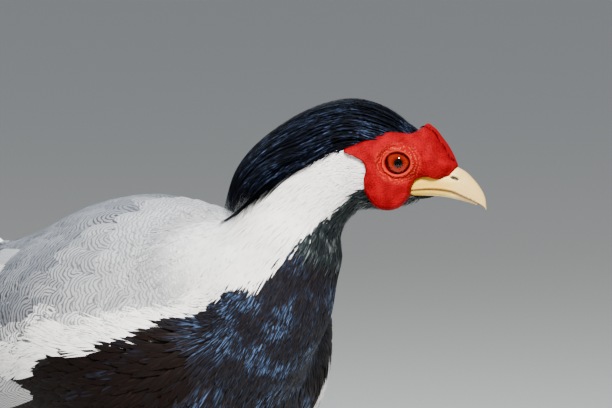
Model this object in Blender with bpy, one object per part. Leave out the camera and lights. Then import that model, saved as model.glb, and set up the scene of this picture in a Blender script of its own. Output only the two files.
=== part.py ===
# A life-size standing silver pheasant cock, as a still museum model.
# The bird faces +X with +Z up. Its head looks round to its own left.
# Sizes are millimetres; MM turns them into Blender's metres when a mesh is made.

import math
import random

import bmesh
import bpy
from mathutils import Matrix, Vector

MM = 0.001
SHIFT = Vector((265.6, 0, 0))  # sets the origin on the floor under the middle of the length
GAP = 0.3  # air kept between touching pieces
random.seed(7)

# Driving sizes of the bird
HEAD_PLACE = (175.0, 56.0, 310.5)  # the middle of the head: forward, left, up
HEAD_YAW = math.radians(52)  # the head turns to the bird's left
TAIL_LENGTH = 590.0  # central tail feathers
LEG_SPREAD = 42.0  # each leg from the body's middle

# Body stations: x, half width, top, bottom
TORSO = (
    (-170, 9, 243, 226),
    (-142, 27, 250, 203),
    (-105, 43, 257, 174),
    (-60, 57, 268, 148),
    (-10, 69, 283, 132),
    (36, 76, 289, 132),
    (74, 72, 281, 142),
    (105, 57, 264, 160),
    (124, 35, 246, 182),
    (134, 9, 224, 206),
)
# The surface that the folded wings lie in: x, half width, top, bottom
WING_HULL = (
    (100, 58, 270, 156),
    (60, 77, 282, 149),
    (20, 82, 281, 147),
    (-30, 77, 270, 152),
    (-80, 65, 258, 162),
    (-130, 51, 250, 177),
    (-180, 40, 243, 190),
    (-230, 32, 237, 200),
)
# Neck stations: x, y, z, half width, half depth
NECK = (
    (84, -3, 210, 42, 45),
    (104, 2, 226, 38, 44),
    (121, 7, 247, 33, 40),
    (138.5, 14, 274, 23, 27.5),
    (151, 26, 298, 18, 21.5),
    (160, 38, 311, 16, 19.5),
)
# Head stations, in the head's own frame: forward, half width, top, bottom
HEAD = (
    (-41, 6, 9, -8),
    (-37, 12, 16, -14),
    (-26, 16.5, 23, -20),
    (-12, 17, 25.5, -22.5),
    (0, 15.5, 23.5, -21.5),
    (10, 9.8, 17.8, -18.5),
    (18, 6.4, 11, -16.6),
    (24, 4.8, 3.8, -15.8),
    (27.5, 3.4, -3, -14),
)
# Upper bill: forward, half width, ridge, biting edge
UPPER_BILL = (
    (2, 7.2, -7.5, -12.8),
    (10, 7.4, -4, -11.8),
    (18, 7, -1, -11.4),
    (26.5, 6.2, -0.6, -12.4),
    (32.5, 5, -3.1, -15),
    (37, 3.7, -7.2, -17.2),
    (40.4, 2.5, -11.6, -18.9),
    (42.4, 1.5, -15.8, -20.4),
    (43, 0.6, -20, -21.8),
)
# Lower bill: forward, half width, keel; its top follows the biting edge
LOWER_BILL = (
    (2, 6.4, -15.6),
    (12, 6.4, -15.1),
    (22, 5.6, -15.4),
    (30, 4.3, -16.9),
    (36, 2.8, -18.4),
    (38.6, 1.2, -19.4),
)
# Outline of the bare red face seen from the side: forward, up
FACE_OUTLINE = (
    (-23.4, 7.6),
    (-11.5, 13),
    (-1.2, 16.2),
    (8, 15.2),
    (11.5, 17.5),
    (14.2, 19.5),
    (19.5, 15.6),
    (25, 8),
    (29, 0),
    (27, -4.5),
    (22, -6.6),
    (16.5, -5.6),
    (10.6, -7),
    (6.6, -12),
    (5.2, -15.4),
    (-4, -12),
    (-11.6, -7),
    (-12.6, -1),
    (-15, 4.2),
)
FACE_THICKNESS = 2.8
EYE_RADIUS = 6.6
EYE_PLACE = (3.0, 11.9, 1.5)  # eyeball centre in the head's frame

# The crest's hull in the head's frame: the axis inside head and nape, and its outer profile
CREST_AXIS = ((10, 1), (-8, 2), (-22, 3), (-35, -3), (-46, -12), (-55, -25), (-62, -39))
CREST_PROFILE = ((12, 18.5), (-4, 28), (-23, 31.5), (-44, 26), (-65, 12.5), (-79, -4), (-86, -27))
CREST_SQUEEZE = 0.72  # its width against its height

# Colours seen in daylight: base colour, roughness
COLOURS = {
    "white_feather": ((0.80, 0.81, 0.82), 0.7),
    "black_feather": ((0.015, 0.017, 0.03), 0.4),
    "red_skin": ((0.75, 0.01, 0.01), 0.6),
    "horn": ((0.80, 0.74, 0.55), 0.35),
    "eye": ((0.35, 0.08, 0.01), 0.1),
    "leg_skin": ((0.62, 0.07, 0.04), 0.5),
    "claw": ((0.45, 0.36, 0.28), 0.4),
}


def material(name):
    found = bpy.data.materials.get(name)
    if found:
        return found
    made = bpy.data.materials.new(name)
    made.use_nodes = True
    colour, roughness = COLOURS[name]
    shader = made.node_tree.nodes["Principled BSDF"]
    shader.inputs["Base Color"].default_value = (*colour, 1)
    shader.inputs["Roughness"].default_value = roughness
    shader.inputs["Metallic"].default_value = 0
    return made


# Curves through stations


def spline(values, t):
    """The Catmull-Rom value at t, counted in stations from 0."""
    last = len(values) - 1
    i = min(int(t), last - 1)
    f = t - i
    p = [values[min(max(i + k, 0), last)] for k in (-1, 0, 1, 2)]
    slope_in, slope_out = (p[2] - p[0]) / 2, (p[3] - p[1]) / 2
    bend = 2 * p[1] - 2 * p[2] + slope_in + slope_out
    ease = -3 * p[1] + 3 * p[2] - 2 * slope_in - slope_out
    return ((bend * f + ease) * f + slope_in) * f + p[1]


def station(table, t):
    """One row of a station table, interpolated at t."""
    return [spline([row[c] for row in table], t) for c in range(len(table[0]))]


def steps(count, low=0.0, high=1.0):
    return [low + (high - low) * i / (count - 1) for i in range(count)]


def station_at(table, x):
    """The interpolated row whose first value is x."""
    low, high = 0.0, len(table) - 1.0
    rising = table[-1][0] > table[0][0]
    for _ in range(30):
        middle = (low + high) / 2
        if (station(table, middle)[0] < x) == rising:
            low = middle
        else:
            high = middle
    return station(table, low)


# Meshes


def mesh_object(name, points, faces, colour):
    mesh = bpy.data.meshes.new(name)
    mesh.from_pydata([(Vector(p) + SHIFT) * MM for p in points], [], faces)
    mesh.materials.append(material(colour))
    made = bpy.data.objects.new(name, mesh)
    bpy.context.scene.collection.objects.link(made)
    return made


def skin_rings(name, rings, colour):
    """A closed tube through rings of points, each listed the same way round."""
    count = len(rings[0])
    points = [p for ring in rings for p in ring]
    faces = []
    for r in range(len(rings) - 1):
        for i in range(count):
            j = (i + 1) % count
            a, b = r * count + i, r * count + j
            faces += [(a, b, b + count), (a, b + count, a + count)]
    faces.append(tuple(reversed(range(count))))
    faces.append(tuple((len(rings) - 1) * count + i for i in range(count)))
    made = mesh_object(name, points, faces, colour)
    face_outwards(made)
    return made


def face_outwards(obj):
    shape = bmesh.new()
    shape.from_mesh(obj.data)
    bmesh.ops.triangulate(shape, faces=[f for f in shape.faces if len(f.verts) > 4])
    bmesh.ops.recalc_face_normals(shape, faces=shape.faces)
    if shape.calc_volume(signed=True) < 0:
        bmesh.ops.reverse_faces(shape, faces=shape.faces)
    shape.to_mesh(obj.data)
    shape.free()


def evaluated_copy(obj):
    graph = bpy.context.evaluated_depsgraph_get()
    return bpy.data.meshes.new_from_object(obj.evaluated_get(graph))


def keep_largest_surface(obj):
    """Drops the loose scraps and sealed hollows that a union or a cut leaves."""
    shape = bmesh.new()
    shape.from_mesh(obj.data)
    bmesh.ops.remove_doubles(shape, verts=shape.verts, dist=1e-7)
    left, groups = set(shape.faces), []
    while left:
        todo, group = [left.pop()], set()
        while todo:
            face = todo.pop()
            group.add(face)
            for edge in face.edges:
                for other in edge.link_faces:
                    if other in left:
                        left.discard(other)
                        todo.append(other)
        groups.append(group)
    groups.sort(key=lambda group: sum(f.calc_area() for f in group), reverse=True)
    scraps = [f for group in groups[1:] for f in group]
    bmesh.ops.delete(shape, geom=scraps, context="FACES")
    bmesh.ops.dissolve_limit(
        shape, angle_limit=math.radians(0.05), verts=shape.verts, edges=shape.edges
    )
    bmesh.ops.triangulate(shape, faces=[f for f in shape.faces if len(f.verts) > 3])
    shape.to_mesh(obj.data)
    shape.free()


def combine(base, others, operation, solver="EXACT"):
    """Joins or cuts base with closed mesh objects in one Boolean, and removes them."""
    group = bpy.data.collections.new("operands")
    bpy.context.scene.collection.children.link(group)
    for other in others:
        bpy.context.scene.collection.objects.unlink(other)
        group.objects.link(other)
    step = base.modifiers.new(operation, "BOOLEAN")
    step.operation = operation
    step.solver = solver
    step.operand_type = "COLLECTION"
    step.collection = group
    bpy.context.view_layer.update()
    result = evaluated_copy(base)
    base.modifiers.clear()
    old = base.data
    base.data = result
    bpy.data.meshes.remove(old)
    for other in others:
        bpy.data.objects.remove(other)
    bpy.data.collections.remove(group)
    keep_largest_surface(base)
    return base


def named(obj, name):
    obj.name = obj.data.name = name
    return obj


def shade(obj, angle=35):
    obj.data.shade_smooth()
    obj.data.set_sharp_from_angle(angle=math.radians(angle))
    return obj


# Lofted forms


def oval(x, half_width, top, bottom, sides, grow):
    """A ring across the body at x: left, top, right, bottom."""
    middle = (top + bottom) / 2
    ring = []
    for i in range(sides):
        a = math.tau * i / sides
        ring.append(
            Vector(
                (
                    x,
                    (half_width + grow) * math.cos(a),
                    middle + ((top - bottom) / 2 + grow) * math.sin(a),
                )
            )
        )
    return ring


def lengthened(x, t, last, grow):
    """Moves the end rings out by the growth, so that a grown copy covers the ends too."""
    if t == 0:
        return x - grow
    return x + grow if t == last else x


def torso_shape(grow=0.0, rings=17, sides=24):
    last = len(TORSO) - 1
    made = []
    for t in steps(rings, 0, last):
        x, half_width, top, bottom = station(TORSO, t)
        made.append(oval(lengthened(x, t, last, grow), half_width, top, bottom, sides, grow))
    return skin_rings("torso", made, "black_feather")


def neck_shape(grow=0.0, rings=9, sides=20):
    made = []
    last = len(NECK) - 1
    for t in steps(rings, 0, last):
        x, y, z, half_width, half_depth = station(NECK, t)
        before = Vector(station(NECK, max(t - 0.1, 0))[:3])
        after = Vector(station(NECK, min(t + 0.1, last))[:3])
        along = (after - before).normalized()
        side = Vector((0, 0, 1)).cross(along).normalized()
        over = along.cross(side)
        ring = []
        for i in range(sides):
            a = math.tau * i / sides
            ring.append(
                Vector((x, y, z))
                + side * (half_width + grow) * math.cos(a)
                + over * (half_depth + grow) * math.sin(a)
            )
        made.append(ring)
    return skin_rings("neck", made, "white_feather")


def head_matrix():
    """From the head's own frame (forward, left, up from its middle) to the bird's."""
    place = Matrix.Translation(HEAD_PLACE)
    return place @ Matrix.Rotation(HEAD_YAW, 4, "Z")


def in_head(points):
    turn = head_matrix()
    return [turn @ Vector(p) for p in points]


def head_shape(grow=0.0, rings=11, sides=18):
    last = len(HEAD) - 1
    made = []
    for t in steps(rings, 0, last):
        s, half_width, top, bottom = station(HEAD, t)
        s = lengthened(s, t, last, grow)
        made.append(in_head(oval(s, half_width, top, bottom, sides, grow)))
    return skin_rings("head", made, "white_feather")


def ball(name, centre, radii, colour, segments, rings, turn=None):
    """An ellipsoid with its poles along its own Y, turned by a matrix."""
    points, faces = [], []
    turn = turn or Matrix.Identity(4)
    for r in range(1, rings):
        b = math.pi * r / rings
        for i in range(segments):
            a = math.tau * i / segments
            local = Vector(
                (
                    radii[0] * math.sin(b) * math.cos(a),
                    radii[1] * math.cos(b),
                    radii[2] * math.sin(b) * math.sin(a),
                )
            )
            points.append(turn.to_3x3() @ local + Vector(centre))
    for end in (1, -1):
        points.append(turn.to_3x3() @ Vector((0, end * radii[1], 0)) + Vector(centre))
    for r in range(rings - 2):
        for i in range(segments):
            j = (i + 1) % segments
            a, b = r * segments + i, r * segments + j
            faces.append((a, b, b + segments, a + segments))
    low, high = len(points) - 2, len(points) - 1
    start = (rings - 2) * segments
    for i in range(segments):
        j = (i + 1) % segments
        faces.append((low, j, i))
        faces.append((high, start + i, start + j))
    made = mesh_object(name, points, faces, colour)
    face_outwards(made)
    return made


# Bill


def biting_edge(s):
    return station_at(UPPER_BILL, s)[3]


def upper_bill_shape(grow=0.0, rings=12, arch=9):
    """A keeled roof over a flat biting plane."""
    last = len(UPPER_BILL) - 1
    made = []
    for t in steps(rings, 0, last):
        s, half_width, ridge, edge = station(UPPER_BILL, t)
        s = lengthened(s, t, last, grow)
        ring = []
        for i in range(arch):
            a = math.pi * i / (arch - 1)
            across = (half_width + grow) * math.cos(a)
            rise = (ridge - edge + grow) * math.sin(a) ** 0.85
            ring.append((s, across, edge + rise))
        ring.append((s, -half_width * 0.5, edge - grow))
        ring.append((s, half_width * 0.5, edge - grow))
        made.append(in_head(ring))
    return skin_rings("bill_upper", made, "horn")


def lower_bill_shape(grow=0.0, rings=9, arch=7):
    last = len(LOWER_BILL) - 1
    made = []
    for t in steps(rings, 0, last):
        s, half_width, keel = station(LOWER_BILL, t)
        s = lengthened(s, t, last, grow)
        top = biting_edge(s) - GAP + grow
        ring = []
        for i in range(arch):
            a = math.pi + math.pi * i / (arch - 1)
            across = (half_width + grow) * math.cos(a)
            ring.append((s, across, top + (top - keel + grow) * math.sin(a)))
        ring.append((s, half_width * 0.4, top))
        ring.append((s, -half_width * 0.4, top))
        made.append(in_head(ring))
    return skin_rings("bill_lower", made, "horn")


def nostril_cutter(side):
    tilt = Matrix.Rotation(HEAD_YAW, 4, "Z") @ Matrix.Rotation(math.radians(24), 4, "Y")
    (centre,) = in_head([(25.6, side * 5.4, -7.0)])
    return ball("nostril", centre, (2.3, 1.7, 0.75), "horn", 10, 6, tilt)


# Face, eyes and crest


def face_prism(side, grow=0.0):
    """The outline of the bare skin, pushed sideways from near the middle of the head."""
    closed = FACE_OUTLINE + FACE_OUTLINE[:3]
    count = 30
    outline = []
    for i in range(count):
        t = 1 + i * len(FACE_OUTLINE) / count
        outline.append(Vector([spline([p[c] for p in closed], t) for c in (0, 1)]))
    grown = []
    for i, point in enumerate(outline):
        along = (outline[(i + 1) % count] - outline[i - 1]).normalized()
        grown.append(point + Vector((-along.y, along.x)) * grow)
    inner, outer = 1.0 - grow, 40.0
    rings = [in_head([(s, side * across, v) for s, v in grown]) for across in (inner, outer)]
    return skin_rings("prism", rings, "red_skin")


def lid_ring(side, turns=14, sides=5):
    """The raised rim of the lids: an oval ring that faces outwards."""
    points, faces = [], []
    for i in range(turns):
        a = math.tau * i / turns
        out = Vector((math.cos(a), 0, math.sin(a) * 0.87))
        for j in range(sides):
            b = math.tau * j / sides
            reach = 6.3 + 1.25 * math.cos(b)
            across = side * (16.6 + 1.35 * math.sin(b))
            points.append((EYE_PLACE[0] + out.x * reach, across, EYE_PLACE[2] + out.z * reach))
    for i in range(turns):
        for j in range(sides):
            a, b = i * sides + j, i * sides + (j + 1) % sides
            c, d = ((i + 1) % turns) * sides + (j + 1) % sides, ((i + 1) % turns) * sides + j
            faces.append((a, b, c, d))
    made = mesh_object("lids", in_head(points), faces, "red_skin")
    face_outwards(made)
    return made


def eyeball(side, grow=0.0):
    (centre,) = in_head([(EYE_PLACE[0], side * EYE_PLACE[1], EYE_PLACE[2])])
    radius = EYE_RADIUS + grow
    turn = Matrix.Rotation(HEAD_YAW, 4, "Z")
    return ball("eye", centre, (radius,) * 3, "eye", 12, 8, turn)


def face_shape(side):
    turn = Matrix.Rotation(HEAD_YAW, 4, "Z")
    plate = head_shape(FACE_THICKNESS)
    combine(plate, [face_prism(side)], "INTERSECT")
    plate.data.materials.clear()
    plate.data.materials.append(material("red_skin"))
    (wattle_at,) = in_head([(-3.2, side * 13.2, -9.4)])
    (comb_at,) = in_head([(17, side * 7.4, 2.5)])
    (spike_at,) = in_head([(14, side * 4.2, 14.8)])
    wattle = ball("wattle", wattle_at, (10.6, 3.9, 11.6), "red_skin", 12, 6, turn)
    comb = ball("comb", comb_at, (9.6, 4.6, 8.8), "red_skin", 12, 6, turn)
    spike = ball("spike", spike_at, (3.6, 2.6, 5.4), "red_skin", 8, 5, turn)
    combine(plate, [wattle, comb, spike, lid_ring(side)], "UNION")
    cutters = [head_shape(GAP), eyeball(side, GAP), upper_bill_shape(GAP), middle_slab()]
    return combine(plate, cutters, "DIFFERENCE")


def middle_slab():
    """The strip of forehead feathers that keeps the two sides of the face apart."""
    rings = [
        in_head([(s, across, v) for across, v in ((-1, -30), (1, -30), (1, 40), (-1, 40))])
        for s in (-60, 60)
    ]
    return skin_rings("slab", rings, "red_skin")


def crest_point(q, angle, lift=0.0):
    """A point on the crest's hull: q runs from forehead 0 to tip 1, angle from the ridge."""
    t = q * (len(CREST_AXIS) - 1)
    axis = Vector([spline([p[c] for p in CREST_AXIS], t) for c in (0, 1)])
    rim = Vector([spline([p[c] for p in CREST_PROFILE], t) for c in (0, 1)])
    out = (rim - axis).normalized()
    reach = (rim - axis).length + lift
    height = axis + out * reach * math.cos(angle)
    return Vector((height.x, reach * CREST_SQUEEZE * math.sin(angle), height.y))


def crest_core():
    """A thin cap over crown and nape that the plumes grow from."""
    outer, inner, across = -1.6, -6.5, 7
    rings = []
    for q in steps(7, 0.03, 0.5):
        reach = math.radians(58)
        ring = [crest_point(q, a, outer) for a in steps(across, -reach, reach)]
        ring += [crest_point(q, a, inner) for a in steps(across, reach, -reach)]
        rings.append(in_head(ring))
    return skin_rings("crest", rings, "black_feather")


# Feathers


def vane(path, normals, half_widths, thickness, camber=0.0, columns=2):
    """A flat tapered feather: a closed strip split alike on both faces.

    Two columns make a plain strip, three a strip that sags at its edges by the camber.
    """
    points = []
    last = len(path) - 1
    for i, centre in enumerate(path):
        along = (path[min(i + 1, last)] - path[max(i - 1, 0)]).normalized()
        side = along.cross(normals[i]).normalized()
        up = side.cross(along)
        for face in (0.5, -0.5):
            for column in steps(columns, -1, 1):
                sag = camber * half_widths[i] * abs(column)
                points.append(
                    centre + side * half_widths[i] * column + up * (face * thickness - sag)
                )
    n = columns
    faces = []
    for c in range(n - 1):
        faces.append((c, c + 1, n + c + 1, n + c))
    for i in range(last):
        a, b = 2 * n * i, 2 * n * (i + 1)
        for c in range(n - 1):
            faces += [(a + c, b + c, b + c + 1), (a + c, b + c + 1, a + c + 1)]
            faces.append((a + n + c, b + n + c + 1, b + n + c))
            faces.append((a + n + c, a + n + c + 1, b + n + c + 1))
        faces.append((a, a + n, b + n, b))
        faces.append((a + n - 1, b + n - 1, b + 2 * n - 1, a + 2 * n - 1))
    end = 2 * n * last
    for c in range(n - 1):
        faces.append((end + c, end + n + c, end + n + c + 1, end + c + 1))
    made = mesh_object("vane", points, faces, "white_feather")
    face_outwards(made)
    return made


def feather_steps(count):
    """Shares of a feather's length, closer together towards its tip."""
    return [1 - (1 - t) ** 1.5 for t in steps(count)]


def feather_widths(count, half_width, root=0.55, tip=0.3):
    """Half widths of a rounded vane from root to tip."""
    widths = []
    for t in feather_steps(count):
        body = root + (1 - root) * math.sin(min(t / 0.55, 1) * math.pi / 2)
        fall = math.sqrt(max(1 - max(t - 0.62, 0) ** 2 / 0.16, tip * tip))
        widths.append(half_width * body * fall)
    return widths


def hull_point(side, x, angle, lift):
    """A point on the folded wing's hull, lifted outwards, and the way out there."""
    _, half_width, top, bottom = station_at(WING_HULL, x)
    a = math.radians(angle)
    height = (top - bottom) / 2
    out = Vector((0, math.cos(a) / half_width, math.sin(a) / height)).normalized()
    point = Vector((x, half_width * math.cos(a), (top + bottom) / 2 + height * math.sin(a)))
    point += out * lift
    return Vector((point.x, side * point.y, point.z)), Vector((0, side * out.y, out.z))


ROOT_DEPTH = -4.0  # the quills' depth under the hull
# Tiers of wing feathers from the inner to the outer one. In each, from the lower feather to
# the upper: count, root x and angle, tip x and angle (each first and last), half width, lift
WING_TIERS = (
    (4, (6, -8), (-16, -10), (-172, -196), (-2, 12), 8, (-5.0, -1.0)),
    (5, (44, 10), (-12, 12), (-112, -158), (-16, 24), 14.5, (1.4, 6.2)),
    (3, (10, -4), (42, 56), (-146, -128), (34, 46), 13, (7.6, 10.2)),
    (6, (58, 36), (-14, 52), (-30, -48), (-20, 44), 12.5, (3.6, 11.6)),
)


def wing_vane(side, root, tip, half_width, lift, count=5):
    """A wing feather from (x, angle) to (x, angle) on the hull, rooted deep in the base."""
    path, normals = [], []
    for t in feather_steps(count):
        x = root[0] + (tip[0] - root[0]) * t
        angle = root[1] + (tip[1] - root[1]) * t
        rise = ROOT_DEPTH + (lift - ROOT_DEPTH) * min(t / 0.4, 1) ** 0.8
        point, out = hull_point(side, x, angle, rise)
        path.append(point)
        normals.append(out)
    return vane(path, normals, feather_widths(count, half_width), 0.8)


def wing_base(side):
    """The fleshy and downy part of the wing, a shallow shell that its feathers grow from."""
    rings = []
    for x in steps(6, 90, -30):
        taper = math.sin(math.pi * min(max((96 - x) / 150, 0.05), 0.95)) ** 0.5
        high, low = 24 + 40 * taper, 24 - 46 * taper
        outer = [hull_point(side, x, a, 0.6 * taper)[0] for a in steps(5, low, high)]
        inner = [hull_point(side, x, a, -10.0)[0] for a in steps(3, high, low)]
        rings.append(outer + inner)
    return skin_rings("wing", rings, "white_feather")


def wing_shape(side, name):
    base = wing_base(side)
    feathers = []
    for count, root_x, root_a, tip_x, tip_a, half_width, lift in WING_TIERS:
        for t in steps(count):
            root_x_t, root_a_t, tip_x_t, tip_a_t, lift_t = (
                low + (high - low) * t for low, high in (root_x, root_a, tip_x, tip_a, lift)
            )
            tip_x_t += random.uniform(-2.5, 2.5)
            root, tip = (root_x_t, root_a_t), (tip_x_t, tip_a_t)
            feathers.append(wing_vane(side, root, tip, half_width, lift_t))
    combine(base, feathers, "UNION", "MANIFOLD")
    combine(base, [torso_shape(GAP)], "DIFFERENCE", "MANIFOLD")
    return shade(named(base, name))


def crest_shape():
    core = crest_core()
    plumes = []
    # count across, root, tip, half width, lift
    layers = ((6, 0.02, 0.62, 3.6, 0.4), (8, 0.3, 0.84, 2.9, -1.0), (6, 0.44, 0.99, 3.1, -2.4))
    for count, root, tip, half_width, lift in layers:
        for angle in steps(count, -1, 1):
            reach = math.radians(62)
            end = tip - 0.08 * abs(angle) + random.uniform(-0.03, 0.03)
            path, normals = [], []
            for t in steps(5):
                q = root + (end - root) * t
                spread = angle * reach * (1 - 0.45 * max(q - 0.6, 0) / 0.4)
                height = lift - 1.2 + 1.0 * t
                point = crest_point(q, spread, height)
                higher = crest_point(q, spread, height + 1)
                path.append(in_head([point])[0])
                normals.append(in_head([higher])[0] - in_head([point])[0])
            widths = [half_width * w for w in (0.9, 1.0, 0.95, 0.7, 0.18)]
            plumes.append(vane(path, normals, widths, 0.8))
    combine(core, plumes, "UNION", "MANIFOLD")
    cutters = [head_shape(GAP), neck_shape(GAP), face_prism(1, 0.6), face_prism(-1, 0.6)]
    combine(core, cutters, "DIFFERENCE", "MANIFOLD")
    core.data.materials.clear()
    core.data.materials.append(material("black_feather"))
    return shade(named(core, "crest"))


def arched_path(root, length, pitch, droop, yaw, count):
    """A feather's line that leaves root at a pitch and bends down by droop over its length."""
    path = [Vector(root)]
    shares = feather_steps(count)
    for before, after in zip(shares, shares[1:]):
        a = math.radians(pitch - droop * (before + after) / 2)
        way = Vector((-math.cos(a) * math.cos(yaw), math.cos(a) * math.sin(yaw), math.sin(a)))
        path.append(path[-1] + way * length * (after - before))
    return path


def tail_shape(side, name):
    """Half of the vaulted tail: eight feathers, the inner one longest and highest."""
    root_x, root_z = -152, 243
    core = ball("tail", (root_x - 6, side * 9, root_z - 12), (24, 11, 17), "white_feather", 12, 6)
    shares = (1.0, 0.9, 0.77, 0.64, 0.52, 0.42, 0.34, 0.28)
    feathers = []
    for k, share in enumerate(shares):
        root = (root_x + 4, side * (3.6 + 1.5 * k), root_z - 3.4 * k)
        yaw = side * math.radians(0.6 + 0.75 * k)
        path = arched_path(root, TAIL_LENGTH * share, 9 - 1.8 * k, 26 - 2.2 * k, yaw, 6)
        tilt = math.radians(50 + 3.5 * k)
        normals = [Vector((0, side * math.sin(tilt), math.cos(tilt)))] * len(path)
        widths = feather_widths(len(path), 23 - 0.9 * k, 0.3, 0.12)
        feathers.append(vane(path, normals, widths, 1.0, 0.05, 3))
    combine(core, feathers, "UNION", "MANIFOLD")
    far = 900
    block = [(-far, -far), (far, -far), (far, far), (-far, far)]
    other_half = skin_rings(
        "half",
        [[(x, side * (GAP / 2 - depth), z) for x, z in block] for depth in (0, 400)],
        "white_feather",
    )
    combine(core, [torso_shape(GAP), other_half], "DIFFERENCE", "MANIFOLD")
    return shade(named(core, name))


# Legs, from the feathered thigh to the claws

# Thigh stations: x, distance from the middle, z, radius along, radius across
THIGH = (
    (10, 40, 186, 34, 26),
    (2, 44, 160, 31, 24),
    (-12, 44, 137, 21, 17),
    (-26, 43, 118, 12.5, 11),
    (-34, 42, 106, 8.6, 8),
)
# Shank stations, hock to ankle: the same columns
SHANK = (
    (-31, 42, 114, 4.4, 4.4),
    (-35, 42, 103, 6.2, 5.6),
    (-36, 42, 96, 6.6, 5.8),
    (-32.5, 42, 86, 4.9, 4.4),
    (-25, 42, 62, 4.4, 3.9),
    (-16, 42, 34, 4.5, 4.0),
    (-10.5, 42, 17, 5.2, 4.9),
    (-9, 42, 12, 4.6, 4.4),
)
ANKLE = (-9.0, 8.0)  # x and height of the knuckle that the toes leave from
# Toes: angle outwards, length, claw length
TOES = ((-31, 36, 9.5), (-1, 50, 11.5), (30, 38, 10), (172, 15, 7))


def leg_tube(table, side, grow, rings, sides, name, colour):
    last = len(table) - 1
    made = []
    for t in steps(rings, 0, last):
        x, y, z, along, across = station(table, t)
        if t in (0, last):
            z += grow if t == 0 else -grow
        ring = []
        for i in range(sides):
            a = math.tau * i / sides
            forward, left = (along + grow) * math.cos(a), (across + grow) * math.sin(a)
            ring.append(Vector((x + forward, side * y + left, z + 0.28 * forward)))
        made.append(ring)
    return skin_rings(name, made, colour)


def shank_shape(side, grow=0.0):
    return leg_tube(SHANK, side, grow, 11, 9, "shank", "leg_skin")


def toe_line(side, toe, along):
    """A point on a toe's middle line on the floor plan, and its direction."""
    a = math.radians(TOES[toe][0]) * side
    way = Vector((math.cos(a), math.sin(a), 0))
    return Vector((ANKLE[0], side * LEG_SPREAD, 0)) + way * along, way


def toe_tube(side, toe):
    """A padded toe whose sole is a flat on the floor."""
    length = TOES[toe][1]
    rings, sides = 7, 8
    made = []
    for t in steps(rings):
        point, way = toe_line(side, toe, length * t)
        across = Vector((-way.y, way.x, 0))
        pads = 0.35 * math.cos(math.tau * 3 * t) if t > 0.1 else 0
        radius = 4.1 - 1.7 * t + pads
        lift = ANKLE[1] * max(1 - t / 0.34, 0) ** 1.6
        ring = []
        for i in range(sides):
            a = math.tau * i / sides
            z = radius * 0.82 + lift + radius * math.sin(a)
            ring.append(point + across * radius * math.cos(a) + Vector((0, 0, max(z, 0))))
        made.append(ring)
    return skin_rings("toe", made, "leg_skin")


def foot_shape(side, name):
    knuckle = ball(
        "foot", (ANKLE[0], side * LEG_SPREAD, ANKLE[1] + 1), (6.6, 6.2, 6.4), "leg_skin", 10, 6
    )
    combine(knuckle, [toe_tube(side, toe) for toe in range(len(TOES))], "UNION")
    combine(knuckle, [shank_shape(side, GAP)], "DIFFERENCE")
    return shade(named(knuckle, name))


def curved_cone(name, base, way, up, length, radius, bend, colour, rings=5, sides=6):
    """A horn that leaves its base along way and curves towards up by bend of its length."""
    side = way.cross(up).normalized()
    made = []
    for t in steps(rings):
        middle = base + way * length * t + up * bend * length * t * t
        along = (way + up * 2 * bend * t).normalized()
        over = side.cross(along)
        reach = radius * (1 - t) ** 0.75 + 0.25
        ring = []
        for i in range(sides):
            a = math.tau * i / sides
            ring.append(middle + side * reach * 0.8 * math.cos(a) + over * reach * math.sin(a))
        made.append(ring)
    return skin_rings(name, made, colour)


def claw_shape(side, toe, name):
    _, length, claw = TOES[toe]
    tip, way = toe_line(side, toe, length + GAP)
    base = tip + Vector((0, 0, 2.75))
    made = curved_cone(name, base, way, Vector((0, 0, -1)), claw, 1.8, 0.16, "claw")
    return shade(made)


def spur_shape(side, name):
    """The spur on the inner back of the shank."""
    base = Vector((-20.5, side * 40.5, 50))
    way = Vector((-0.8, -side * 0.5, 0.18)).normalized()
    made = curved_cone(name, base, way, Vector((0, 0, 1)), 19, 3.1, 0.2, "claw", 6, 7)
    combine(made, [shank_shape(side, GAP)], "DIFFERENCE")
    return shade(made)


def thigh_shape(side, name):
    made = leg_tube(THIGH, side, 0.0, 9, 14, name, "black_feather")
    combine(made, [torso_shape(GAP), shank_shape(side, GAP)], "DIFFERENCE")
    return shade(made)


def undertail_shape():
    """The soft black coverts under the root of the tail."""
    core = ball("undertail", (-134, 0, 183), (24, 17, 11), "black_feather", 12, 8)
    feathers = []
    rows = ((3, -142, 186, 82, 12), (4, -132, 177, 64, 15))
    for count, x, z, length, spread in rows:
        for t in steps(count, -1, 1):
            root = (x, spread * t, z + 9 * t * t)
            yaw = math.radians(7 * t)
            path = arched_path(root, length, 0, 10, yaw, 5)
            lean = math.radians(40 * t)
            normals = [Vector((0, math.sin(lean), -math.cos(lean)))] * len(path)
            feathers.append(vane(path, normals, feather_widths(5, 6.5), 0.9))
    combine(core, feathers, "UNION", "MANIFOLD")
    combine(core, [torso_shape(GAP)], "DIFFERENCE", "MANIFOLD")
    core.data.materials.clear()
    core.data.materials.append(material("black_feather"))
    return shade(named(core, "undertail_coverts"))


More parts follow.
